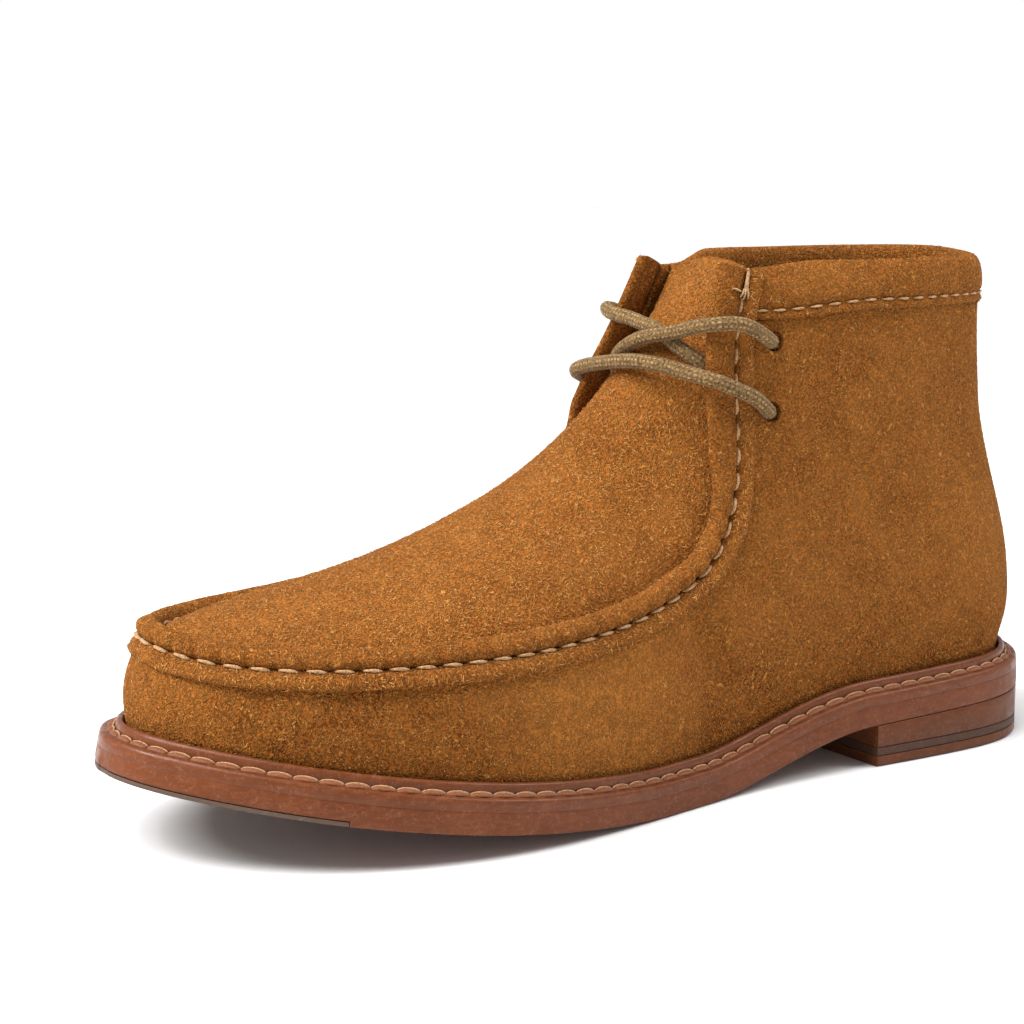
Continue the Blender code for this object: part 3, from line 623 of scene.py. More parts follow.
def nap(name, grids, count, length, width, mat, slot, seed, keep=None):
    """Short curled fibres that stand off the given surfaces, as one mesh of tapered hairs."""
    random = np.random.default_rng(seed)
    cells = [np.stack([grid[:-1, :-1], grid[:-1, 1:], grid[1:, 1:], grid[1:, :-1]], axis=-2)
             for grid in grids]
    spots = np.concatenate([cell.reshape(-1, 4, 3) for cell in cells])
    sides = spots[:, 2] - spots[:, 0]
    normals = np.cross(sides, spots[:, 3] - spots[:, 1])
    areas = np.linalg.norm(normals, axis=-1)
    usable = areas > 1e-6
    if keep is not None:
        usable &= keep(spots.mean(axis=1))
    spots, normals, sides, areas = (each[usable] for each in (spots, normals, sides, areas))
    pick = random.choice(len(areas), size=count, p=areas / areas.sum())
    u, v = random.random((2, count, 1))
    corners = spots[pick]
    place = (corners[:, 0] * (1 - u) * (1 - v) + corners[:, 1] * (1 - u) * v
             + corners[:, 2] * u * v + corners[:, 3] * u * (1 - v))
    normal = unit(normals[pick])
    side = unit(sides[pick] - normal * np.sum(sides[pick] * normal, axis=1, keepdims=True))
    other = np.cross(normal, side)
    turn = random.random((count, 1)) * 2 * math.pi
    ahead = side * np.cos(turn) + other * np.sin(turn)
    beside = np.cross(normal, ahead)
    reach = length * (0.45 + random.random((count, 1)) * 0.9)
    bend = (random.random((count, 1)) - 0.5) * 1.5
    lift = 0.12 + 0.2 * random.random((count, 1)) ** 3
    rings = []
    for s in FIBRE_BENDS:
        line = (place + ahead * reach * s + beside * reach * bend * s * s
                + normal * (lift * reach * math.sin(2.4 * s) - 0.05))
        if s == FIBRE_BENDS[-1]:
            rings.append(line[:, None])
            continue
        thick = width * (1 - 0.45 * s)
        edges = [beside * math.cos(q) + normal * 0.8 * math.sin(q) for q in FIBRE_CORNERS]
        rings.append(np.stack([line + thick * edge for edge in edges], axis=1))
    points = np.concatenate(rings, axis=1).reshape(-1, 3)
    base = (np.arange(count) * 7)[:, None, None]
    four = (base + np.array(FIBRE_QUADS)).reshape(-1, 4)
    three = (base + np.array(FIBRE_ENDS)).reshape(-1, 3)
    return add_piece(name, points, four.tolist() + three.tolist(), mat)


# ---- Sole pieces ----
def rim_point(side, forward, inset, height, flat=False):
    """Point on the rim of a plate; height is above the sole's curve, or the floor if flat."""
    plan = outline_at(ring_at(side, forward), inset)[0]
    return np.append(plan, height) if flat else on_sole(plan, height)


def plate(start, end, levels, across=9, stations=150):
    """Sections of a plate of the sole's outline; levels go up its rim, for rim_point."""
    even = SOLE_LENGTH * (1 - np.cos(np.linspace(0, math.pi, stations))) / 2
    forwards = np.unique(np.concatenate([[start], even[(even > start) & (even < end)], [end]]))
    share = np.linspace(0, 1, across + 2)[1:-1]
    sections = []
    for forward in np.clip(forwards, 0.02, SOLE_LENGTH - 0.02):
        outer, inner = ([rim_point(side, forward, *level) for level in levels] for side in (1, -1))
        low = [inner[0] * (1 - k) + outer[0] * k for k in share]
        high = [outer[-1] * (1 - k) + inner[-1] * k for k in share]
        sections.append(low + outer + high + inner[::-1])
    return sections


def make_outsole(mat):
    """Leather outsole with a barely rounded edge, thinner over the toe plate."""
    shape = Shape()
    let_in = TOE_PLATE_START - 0.2
    for start, end, low in ((0.0, let_in, 0.0), (let_in, SOLE_LENGTH, TOE_PLATE_THICK + 0.1)):
        shape.sweep(plate(start, end, (
            (0.7, low), (0.25, low + 0.25), (0.05, low + 0.8), (0.0, 2.6), (0.0, 4.4), (0.02, 5.8),
            (0.1, OUTSOLE_THICK))))
    shape.finish("outsole_leather", mat, "sole_leather", ("outsole",), sharp=50)


def make_toe_plate(mat):
    levels = ((0.9, 0.0), (0.35, 0.2), (0.2, 0.6), (0.3, TOE_PLATE_THICK))
    skin(plate(TOE_PLATE_START, SOLE_LENGTH, levels), "toe_plate_rubber", mat, "heel_dark",
         ("toe_plate",), sharp=50)


def make_heel(leather, dark):
    """Three layers, each with softened edges, cut off straight at the heel breast."""
    for name, node, low, high, mat, slot in (
        ("heel_lift_leather", "heel_lift", HEEL_LIFT_BOTTOM, None, leather, "sole_leather"),
        ("heel_band_rubber", "heel_band", *HEEL_BAND, dark, "heel_dark"),
        ("top_piece_leather", "top_piece", *TOP_PIECE, leather, "sole_leather"),
    ):
        under = 0.5 if low == 0 else 0.22
        near_top, top = ((-0.3,), (-0.05,)) if high is None else ((high - 0.2, True), (high, True))
        levels = ((0.15 + under, low, True), (0.15, low + under, True), (0.12, *near_top),
                  (0.35, *top))
        skin(plate(0.0, HEEL_LENGTH, levels), name, mat, slot, (node,), sharp=50)


def make_insole(mat):
    low = WELT_TOP + GAP
    top = low + INSOLE_THICK
    levels = ((9.2, low), (9.1, low + 1.6), (9.6, top - 0.3), (10.4, top))
    sections = plate(0.3, SOLE_LENGTH - 0.3, levels, across=15, stations=110)
    skin(sections, "insole_board", mat, "insole_leather", ("insole",), sharp=60)


WELT_PITCH = 6.6
WELT_STITCHES = round(2 * HALF_ROUND / WELT_PITCH)

# Section of the welt: inset from the sole's edge, height above its underside.
WELT = (
    (0.08, OUTSOLE_THICK + 0.05), (0.02, 6.3), (0, 7.4), (0.05, 8.5), (0.3, 9.2), (0.8, 9.55),
    (1.5, 9.62), (2.4, 9.5), (3.3, 9.35), (3.7, 9.6), (3.75, 10.6), (3.72, 11.6), (3.95, 12.35),
    (4.45, 12.8), (5.05, 12.75), (5.5, 12.3), (5.8, 11.4), (6.3, 9.2), (12, 9.2), (12, 6.05),
)
WELT_RIM = (0.9, 3.6)         # insets of the rim, which the stitches pull into waves


def make_welt(mat):
    """Storm welt: rim for the stitches, and a rounded bead against the upper."""
    rings = np.linspace(0, 2, 800, endpoint=False)
    wave = 0.12 * np.cos(rings * WELT_STITCHES * math.pi)
    columns = []
    for inset, height in WELT:
        waved = WELT_RIM[0] < inset < WELT_RIM[1]
        columns.append(on_sole(outline_at(rings, inset)[0], height + wave * waved))
    skin(np.stack(columns, axis=1), "welt_leather", mat, "sole_leather", ("welt",), True, sharp=60)


def make_welt_stitches(tan, cream):
    """Thick tan stitches that scallop the rim, each with a pale line along its back, a painted
    highlight on the thread.
    """
    lobes, lines = Shape(), Shape()
    half = 1 / WELT_STITCHES
    for k in range(WELT_STITCHES):
        t = np.linspace(-0.97, 0.97, 11)
        ring = (2 * k + 1) * half + t * half
        hump = np.sqrt(1 - t ** 2 * 0.98)
        plan, outward = outline_at(ring, 2.65 + 0.15 * hump)
        line = on_sole(plan, WELT_TOP - 0.05 + 0.45 * hump)
        across = np.concatenate([outward, np.zeros((len(t), 1))], axis=1)
        lobes.sweep(tube(line, 0.25 + 1.0 * hump, 10, 0.62, across))
        # painted highlight: a pale cream thread laid along the crest of each stitch
        line = on_sole(outline_at(ring, 2.9 + 0.45 * hump)[0], WELT_TOP + 0.25 + 0.85 * hump)
        lines.sweep(tube(line, 0.1 + 0.2 * hump, 6))
    lobes.finish("welt_stitches", tan, "lace_cord")
    lines.finish("welt_stitch_painted_highlights", cream, "lace_cord")


# ---- Upper ----
def eyelet_frame(name):
    side, forward, z = EYELETS[name]
    return wall_frame(ring_at(side, forward), z)


def make_upper(mat):
    """The wall: quarters and vamp in one piece, with true eyelet holes."""
    share = np.linspace(0, 1, 150)[1:-1]
    foot, top = (SEAM_ROWS[-1, :2, None] - 2) * (1 - share) + SEAM_ROWS[0, :2, None] * share
    seam_foot, seam_top, seam_z = seam_at(row_at(np.linspace(0, SEAM_TOTAL, 300)))
    z_top = np.concatenate([np.full(len(share), TOP_LINE), seam_z])
    foot, top = np.concatenate([foot, seam_foot]), np.concatenate([top, seam_top])
    share = np.linspace(0, 1, 60)
    z_foot = wall_foot(foot)[0][:, 2]
    rings = foot[:, None] + (top - foot)[:, None] * share
    heights = z_foot[:, None] + (z_top - z_foot)[:, None] * share
    outer, normal = wall_frame(rings, heights)
    outer = outer + normal * (0.12 * ripple(outer, 16.0, 1))[..., None]
    inner = outer - normal * WALL_THICK
    upper = skin(np.concatenate([outer, inner[:, ::-1]], axis=1), "upper_suede", mat, "suede",
                 ("upper",), True)
    for name in EYELETS:
        punch_hole(upper, *eyelet_frame(name))
    return outer


def punch_hole(obj, point, normal):
    """Cut a round hole through a piece and forget the cutter."""
    bm = bmesh.new()
    radius = EYELET_RADIUS * MM
    bmesh.ops.create_cone(bm, cap_ends=True, segments=40, radius1=radius, radius2=radius,
                          depth=12 * MM)
    punch = add_object("punch", mesh_from("punch", bm))
    punch.location = world(point)
    direction = world(point + normal) - world(point)
    punch.rotation_euler = Vector(direction).to_track_quat("Z", "Y").to_euler()
    cut = obj.modifiers.new("hole", "BOOLEAN")
    cut.operation = "DIFFERENCE"
    cut.object = punch
    evaluated = obj.evaluated_get(bpy.context.evaluated_depsgraph_get())
    old, obj.data = obj.data, bpy.data.meshes.new_from_object(evaluated)
    obj.modifiers.remove(cut)
    bpy.data.meshes.remove(old)
    bpy.data.objects.remove(punch, do_unlink=True)


TONGUE_ROW = 0.14             # where the rounding of the tongue's top begins


def away_from_eyelets(points):
    clear = np.ones(len(points), bool)
    for name in EYELETS:
        clear &= np.linalg.norm(points - eyelet_frame(name)[0], axis=1) > EYELET_RADIUS + 1.2
    return clear


def make_apron(mat, lace_line):
    """Apron and tongue in one piece; the tongue is thick and rounded at its top."""
    across = 1 - np.linspace(0, 1, 46) ** 1.15
    toe = np.interp(TOE_ROW, SEAM_FINE, SEAM_LENGTHS)
    rows = row_at(np.linspace(toe, 0, 190))
    rows = np.concatenate([[TOE_ROW], rows[1:][rows[1:] > TONGUE_ROW], [TONGUE_ROW]])
    t = np.concatenate([across, across[-2::-1]])
    outer_side = np.concatenate([np.ones(len(across)), np.zeros(len(across) - 1)]) > 0
    grid_row = np.where(outer_side[None], rows[:, None], LAST_ROW - rows[:, None])
    point, lift = apron_frame(grid_row.ravel(), np.tile(t, len(rows)))
    point = point.reshape(len(rows), len(t), 3)
    lift = lift.reshape(len(rows), len(t), 3)
    lift[:, len(across) - 1] = unit(lift[:, len(across) - 2] + lift[:, len(across)])
    wave = 0.15 * ripple(point, 22.0, 2) + 0.05 * ripple(point, 8.0, 3)
    point = point + lift * wave[..., None]
    depth = []
    for side_rows, strong in ((rows, 0.35), (LAST_ROW - rows, 1.1)):
        one_mm = 1 - inward_from_seam(side_rows, 1.0)
        off = (1 - across)[None] / one_mm[:, None] - ROLL_LAP - 1.0
        sewn = 1 - freedom(side_rows)
        depth.append(strong * sewn[:, None] * bell(off, 2.3))
    groove = np.concatenate([depth[0], depth[1][:, -2::-1]], axis=1)
    point = point - lift * groove[..., None]
    point = press(point, lift, lace_line)
    thick = APRON_THICK + 3.4 * (1 - smooth_step(0.2, 1.8, rows))
    inner = point - lift * thick[:, None, None]
    sections = list(np.concatenate([point, inner[:, ::-1]], axis=1))
    middle = (point[-1] + inner[-1]) / 2
    rise = unit(point[-1] - point[-2])
    for angle in np.radians((22, 45, 66, 82)):
        over = [middle + (side - middle) * math.cos(angle) + rise * thick[-1] / 2 * math.sin(angle)
                for side in (point[-1], inner[-1])]
        sections.append(np.concatenate([over[0], over[1][::-1]]))
    skin(sections, "apron_tongue_suede", mat, "suede", ("apron_tongue",), merge=0.004)
    return point[1:]


LACE_CLEARANCE = 0.15
LACE_PRESSES = 6              # how deep into a surface the lace can lie and still press it


def press(points, lift, line):
    """Push a surface down where the lace lies against it."""
    flat = points.reshape(-1, 3)
    near = line[::4]
    away = flat[:, None] - near[None]
    nearest = np.argmin(np.sum(away ** 2, axis=2), axis=1)
    offset = flat - near[nearest]
    up = lift.reshape(-1, 3)
    along_up = np.sum(offset * up, axis=1)
    beside = np.sqrt(np.maximum(np.sum(offset ** 2, axis=1) - along_up ** 2, 0))
    reach = LACE_RADIUS + LACE_CLEARANCE
    room = np.where(beside < reach, -np.sqrt(np.maximum(reach ** 2 - beside ** 2, 0)), np.inf)
    push = np.where((along_up > room) & (along_up < LACE_PRESSES), room - along_up, 0.0)
    return (flat + up * push[:, None]).reshape(points.shape)


# The lip is the folded edge of the wall below the stitches: out of the wall, down it.
LIP = ((-0.5, -0.2), (0.3, 0.3), (1.25, 0.7), (1.95, 1.5), (2.25, 2.6), (2.35, 3.7), (1.9, 4.6),
       (0.6, 4.75), (-0.3, 3.6), (-0.6, 1.4))
LIP_FACING = 0.85             # it lies flatter along the facings
LIP_TOE = 0.3                 # and round the tip of the toe
LIP_OVER_TOP = 1.2


def seam_lip(mat):
    lengths = np.linspace(0, SEAM_TOTAL, 900)
    rows = row_at(lengths)
    point, normal, into_wall, _ = seam_frame(rows)
    flat = 1 - (1 - LIP_FACING) * (1 - smooth_step(3.0, 6.0, side_row(rows)))
    flat *= 1 - (1 - LIP_TOE) * smooth_step(TOE_ROW - 1.6, TOE_ROW, side_row(rows))
    wander = 0.28 * ripple(point, 11.0, 4) + 0.14 * ripple(point, 3.5, 5)
    pinch = pinch_at(lengths)
    sections = []
    for out, down in closed_curve(LIP, 18):
        top = max(0.0, 1 - abs(down - 0.6) / 1.5)
        outward = np.where(out > 0, out * flat, out) - 0.6 * top * pinch
        sections.append(point + normal * outward[:, None]
                        + into_wall * (down + wander * max(0.0, down) / 4)[:, None])
    sections = np.stack(sections, axis=1)
    sections[..., 2] = np.minimum(sections[..., 2], TOP_LINE + LIP_OVER_TOP)
    skin(sections, "seam_lip_suede", mat, "suede")
    return sections


ROLL_LAP = 5.2
ROLL_CREST = 4.0
ROLL_TOP = 147.0
ROLL_BULGE = 0.8              # how far its side hangs out over the stitches
ROLL_ARC = 20                 # corners over the crest; the rest close it underneath
ROLL_UNDER = 8


def roll_sections(lengths):
    """Outlines of the roll at distances along the seam."""
    rows = row_at(lengths)
    point, normal, into_wall, along = seam_frame(rows)
    rise = -into_wall
    far_foot, far_lift = apron_frame(rows, inward_from_seam(rows, ROLL_LAP))
    pinch = pinch_at(lengths)[:, None]
    outer = point + normal * (0.1 - 0.4 * pinch) + rise * (0.35 + 0.3 * pinch)
    inner = far_foot - far_lift * 0.25
    chord = inner - outer
    up = unit(np.cross(chord, along))
    up = up * np.sign(np.sum(up * normal, axis=1))[:, None]
    overhang = -unit(chord) * (1 - 0.45 * pinch)
    swell = 1 + 0.05 * ripple(point, 14.0, 6) + 0.03 * ripple(point, 4.0, 7)
    height = ROLL_CREST + 0.9 * smooth_step(TOE_ROW, TOE_ROW + 3, rows)[:, None]
    sewn, loose = [], []
    for a in np.linspace(math.radians(2), math.radians(180), ROLL_ARC):
        crest = height * (math.sin(a) ** 0.86 if 0 < a < math.pi - 1e-6 else 0.0)
        tuck = bell(a, 0.8) * 0.3
        side = ROLL_BULGE * max(0.0, math.sin(2 * a))
        sewn.append(outer + chord * (1 - math.cos(a)) / 2 + overhang * side
                    + up * (crest * (swell[:, None] - tuck * pinch)))
        loose.append((4.75 - 4.35 * math.cos(a), -0.15 + 2.0 * abs(math.sin(a)) ** 0.85))
    for a in np.linspace(math.pi, 2 * math.pi, ROLL_UNDER + 2)[1:-1]:
        share = (a - math.pi) / math.pi
        sewn.append(inner + (outer - inner) * share - up * 1.2)
        loose.append((4.75 - 4.35 * math.cos(a), -0.35 - 1.6 * abs(math.sin(a)) ** 0.7))
    free = freedom(rows)
    outline = []
    for bound, (on, out) in zip(sewn, loose):
        stand = out * swell - 0.25 * pinch[:, 0] * bell(on, 1.6)
        outline.append(blend(bound, point + normal * stand[:, None] + rise * on, free))
    sections = np.stack(outline, axis=1)
    sections[..., 2] = np.minimum(sections[..., 2], ROLL_TOP)
    return sections


# The open end of a folded tube: size of each extra section, and its depth in millimetres.
HOLLOW_END = ((0.3, 4.2), (0.42, 1.6), (0.5, 0.3), (0.66, -0.25), (0.86, -0.2))


def hollow_end(section, beyond):
    """Extra sections that turn a flat end into an open one; beyond is a section further in."""
    middle = section.mean(axis=0)
    inward = unit(beyond.mean(axis=0) - middle)
    return [middle + (section - middle) * size + inward * depth for size, depth in HOLLOW_END]


def make_roll(mat):
    """Rolled seam round the toe, and the rolled edges of the two facings."""
    sections = roll_sections(np.linspace(0, SEAM_TOTAL, 1000))
    start = hollow_end(sections[0], sections[3])
    end = hollow_end(sections[-1], sections[-4])[::-1]
    whole = np.concatenate([start, sections, end])
    skin(whole, "rolled_seam_suede", mat, "suede", ("rolled_binding",))
    return sections


# Section of the collar: outwards from the wall's outer face, height over the top line.
COLLAR = (
    (0.2, -11.4), (0.5, -12.5), (1.15, -12.5), (1.6, -11.7), (1.45, -10.7), (0.25, -9.7),
    (1.15, -8.6), (1.65, -6.2), (1.5, -3.4), (1.05, -1), (0.25, 1.2), (-0.9, 2.8), (-2.2, 3.4),
    (-3.6, 2.7), (-4.6, 0.6), (-5, -3), (-5, -7.5), (-4.4, -11.5), (-3.2, -13.4), (-2.4, -12.4),
    (-2.3, -9), (-2.2, -3), (-1, 0.4), (0.2, -1), (0.3, -5),
)
COLLAR_BEHIND_SEAM = 2.9      # where the band starts behind the facing's stitches
COLLAR_STITCH_DROP = 9.7
COLLAR_PITCH = 5.8
COLLAR_LENGTH = 215.0         # about, along the stitches


def collar_rings(z, share):
    """Ring coordinates along the collar at a height, from the inner facing to the outer."""
    z = min(z, TOP_LINE)
    step = COLLAR_BEHIND_SEAM / HALF_ROUND
    rows = np.linspace(0, 2, 41)
    outer = seam_at(rows)
    inner = seam_at(LAST_ROW - rows)
    last = np.interp(-z, -outer[2], outer[1]) - step
    first = np.interp(-z, -inner[2], inner[1]) - 2 + step
    return first * (1 - share) + last * share


def collar_point(share, out, rise):
    """Point of the collar: out of the wall, and up from the top line."""
    z = TOP_LINE + rise
    ring = collar_rings(z, share)
    point, normal = wall_frame(ring, np.full(len(share), min(z, TOP_LINE)))
    normal = unit(normal * np.array((1.0, 1.0, 0.0)))
    ends = np.minimum(share, 1 - share) * COLLAR_LENGTH
    at_heel = bell((share - 0.5) * COLLAR_LENGTH, 40)
    proud = (0.4 + 0.6 * smooth_step(0.0, 5.0, ends)) * (1 - 0.55 * at_heel)
    out = np.where(np.asarray(out) > 0, out * proud, out)
    point = point + normal * out[..., None]
    low_edge = 0.8 - 2.4 * smooth_step(76, 110, point[:, 1])
    outer = smooth_step(0.42, 0.68, share)
    high_edge = -1.1 * outer + (0.5 - 3.6 * smooth_step(97, 112, point[:, 1])) * (1 - outer)
    high_edge = high_edge - 1.9 * outer * smooth_step(15.0, 0.0, ends)
    point[:, 2] = z + low_edge + (high_edge - low_edge) * smooth_step(-10.0, 1.0, rise)
    return point, normal


def make_collar(mat):
    """Padded band folded over the top edge, with a soft crumpled lining inside."""
    share = np.linspace(0, 1, 300)
    columns = []
    for out, rise in closed_curve(COLLAR, 46):
        point, normal = collar_point(share, np.full(len(share), out), rise)
        inside = float(smooth_step(-1.5, -4.0, out)) if out < -1.5 else 0.0
        crumple = 0.55 * ripple(point, 15.0, 9) + 0.3 * ripple(point, 6.0, 10)
        soft = 0.16 * ripple(point, 12.0, 8) + inside * crumple
        top = float(smooth_step(-2.0, 2.0, rise))
        point[:, 2] += top * (0.35 * ripple(point, 30.0, 11))
        columns.append(point + normal * soft[:, None])
    sections = np.stack(columns, axis=1)
    skin(sections, "collar_band_suede", mat, "suede", ("collar",))
    return sections


# ---- Stitches ----
def row_of_stitches(name, mat, numbers, pitch, span, samples, place):
    """A row of stitches: place turns distances along it into a line and a thickness.

    span is where in its pitch each stitch starts, and how much of the pitch it covers.
    """
    shape = Shape()
    t = np.linspace(0, 1, samples)
    for number in numbers:
        stitch(shape, *place((number + span[0] + span[1] * t) * pitch, t))
    shape.finish(name, mat, "lace_cord")


def make_seam_stitches(mat):
    """Stitches in the groove between lip and roll, from one facing round to the other."""
    def place(lengths, t):
        rows = row_at(lengths)
        point, normal, into_wall, _ = seam_frame(rows)
        facing = 1 - smooth_step(3.0, 6.0, side_row(rows))
        out = -0.5 + (1.35 - 0.3 * facing) * np.sin(math.pi * t) ** 0.55
        line = point + normal * out[:, None] + into_wall * (0.35 * (0.5 - t) - 0.05)[:, None]
        return line, 0.58 - 0.1 * float(facing.mean())
    numbers = range(1, SEAM_STITCHES - 1)
    row_of_stitches("seam_stitches", mat, numbers, SEAM_STEP, (0.12, 0.76), 11, place)


def make_inner_stitches(mat):
    """Stitches at the foot of the roll on its apron side, inner half of the shoe."""
    def place(lengths, t):
        rows = row_at(lengths)
        point, lift = apron_frame(rows, inward_from_seam(rows, ROLL_LAP + 0.15))
        return point + lift * (0.25 + 0.85 * np.sin(math.pi * t) ** 0.6)[:, None], 0.52
    end = int(np.interp(LAST_ROW - 6.5, SEAM_FINE, SEAM_LENGTHS) / SEAM_STEP)
    numbers = range(SEAM_STITCHES // 2 + 1, end)
    row_of_stitches("inner_seam_stitches", mat, numbers, SEAM_STEP, (0.1, 0.74), 9, place)


def make_collar_stitches(mat):
    share = np.linspace(0, 1, 400)
    along = arc_length(collar_point(share, np.zeros(len(share)), -COLLAR_STITCH_DROP)[0])
    count = round(along[-1] / COLLAR_PITCH)

    def place(lengths, t):
        out = 0.45 + 0.75 * np.sin(math.pi * t) ** 0.6
        return collar_point(np.interp(lengths, along, share), out, -COLLAR_STITCH_DROP)[0], 0.4
    pitch = along[-1] / count
    row_of_stitches("collar_stitches", mat, range(count), pitch, (0.12, 0.74), 9, place)


def facing_place(side, z, on, out):
    """Point on a facing: on is forward of the stitch line, out is out of the wall."""
    rows = np.linspace(0, 5, 101)
    if side < 0:
        rows = LAST_ROW - rows
    row = np.interp([-z], -seam_at(rows)[2], rows)
    point, normal, into_wall, _ = seam_frame(row)
    return (point - into_wall * on + normal * out)[0]


# Bar tacks at the tops of the facings: side, thickness, then height, forward of the stitch
# line and out of the wall at both ends of one thread.
TACKS = (
    (1, 0.55, (144.9, 0.15, 1.3), (137.4, -0.1, 1.3)),
    (1, 0.30, (139.8, -0.3, 1.6), (136.2, -1.3, 1.3)),
    (1, 0.28, (139.4, 0.1, 1.7), (135.9, 0.2, 1.5)),
    (1, 0.28, (139.2, 0.4, 1.6), (136.3, 1.3, 1.6)),
    (1, 0.40, (146.9, 0.3, 0.6), (144.6, 0.2, 1.7)),
    (1, 0.33, (138.3, 4.2, 1.9), (138, 1.2, 1.8)),
    (-1, 0.5, (144.4, 0.1, 1.4), (137.2, -0.2, 1.4)),
    (-1, 0.3, (139, 0.5, 1.7), (135.9, 0.9, 1.6)),
    (-1, 0.35, (137.6, 7.2, 1.9), (137.2, 1.2, 2)),
    (-1, 0.33, (136.7, 7, 1.9), (135.9, 1.4, 2)),
    (-1, 0.33, (143.9, 6.8, 2), (142.2, 8.2, 1.2)),
)


def make_tacks(mat):
    shape = Shape()
    t = np.linspace(0, 1, 11)[:, None]
    for side, thick, start, end in TACKS:
        a, b = facing_place(side, *start), facing_place(side, *end)
        middle = (start[0] + end[0]) / 2
        out = unit(facing_place(side, middle, 0, 1) - facing_place(side, middle, 0, 0))
        stitch(shape, a + (b - a) * t + out * (0.6 * np.sin(math.pi * t) ** 0.5 - 0.2), thick)
    shape.finish("bar_tacks", mat, "lace_cord")


# ---- Lace ----
# Route, given point by point. The three outside stretches are the model's own; the others
# run behind the facings and through the eyelets.
LACE_BAR = (
    (29.5, 118, 108.8), (29.2, 123.7, 111.6), (27.6, 131.1, 114.6),
    (23, 135, 116.1), (18.5, 137, 117.2), (11, 140.2, 118.6), (1.5, 142.4, 118.8),
    (-10, 143.3, 117.4), (-18, 143.4, 116), (-23.5, 143, 114.4), (-27.6, 138.5, 112.3),
    (-28.6, 131, 109.5), (-28.2, 123, 107),
)
LACE_OUTER_STRAND = (
    (27.6, 116.4, 127.4), (27, 122.4, 129.8), (25, 128.8, 130),
    (18.3, 132.4, 128.7), (11.5, 134.5, 127), (5, 136.7, 125.9), (-1.2, 138, 124.1),
    (-7, 138.4, 121.2),
)
LACE_INNER_STRAND = (
    (-26.3, 118, 127.5), (-25.6, 126.2, 130.3), (-22.2, 133.2, 131.8),
    (-17.5, 135.2, 131), (-9.8, 134.8, 130), (-1.8, 134.3, 128.5), (2.8, 134, 127.6),
    (6.8, 132.7, 125.3), (10.9, 131.7, 122.8), (14.6, 130.6, 120.8),
)
BEHIND_INNER_FACING = ((-12.5, 136.6, 117.6), (-17, 132.6, 113.6), (-20, 126, 109.4))
HIDDEN_END = np.array((2.5, -2.5, -3.0))
BEHIND_OUTER_FACING = ((21.4, 115.5, 108.2), (20.3, 121.5, 112.8), (18, 127, 117.4))


def through(name, outwards):
    """Points of the lace through an eyelet, against its front edge."""
    point, normal = eyelet_frame(name)
    steps = np.array(((-4.4, 0.0), (-1.6, 0.3), (0.9, 1.9)))
    line = point + normal * steps[:, :1] + np.array((0.0, 1.0, 0.1)) * steps[:, 1:]
    return line if outwards else line[::-1]


def lace_route():
    start, end = through("lateral_upper", True), through("medial_upper", False)
    first, last = start[:1] + HIDDEN_END * (-1, 1, 1), end[-1:] + HIDDEN_END
    parts = [first, start, LACE_OUTER_STRAND, BEHIND_INNER_FACING, through("medial_lower", True),
             LACE_BAR[::-1], through("lateral_lower", False), BEHIND_OUTER_FACING,
             LACE_INNER_STRAND[::-1], end, last]
    return np.vstack([np.asarray(part, float) for part in parts])


LACE_ROWS = 9                 # rows of plaits round the braid
LACE_STEP = 1.35              # length of one plait


def make_lace(mat, line):
    """Round braided lace, modelled down to its strands."""
    along = arc_length(line)
    angle = np.linspace(0, 2 * math.pi, 30, endpoint=False)
    weave = np.cos(LACE_ROWS * angle[None]) * np.cos(2 * math.pi * along[:, None] / LACE_STEP)
    radius = LACE_RADIUS * (1 + 0.02 * weave) - 0.05 + 0.06 * ripple(line, 5.0, 12)[:, None]
    sections = tube(line, radius, 30)
    skin(sections, "lace", mat, "lace_cord", ("lace_bar", "lace_crossing"))
    return sections


# ---- Materials ----
def set_inputs(node, **values):
    """Set sockets by their names, with _ for a space."""
    for name, value in values.items():
        node.inputs[name.replace("_", " ")].default_value = value


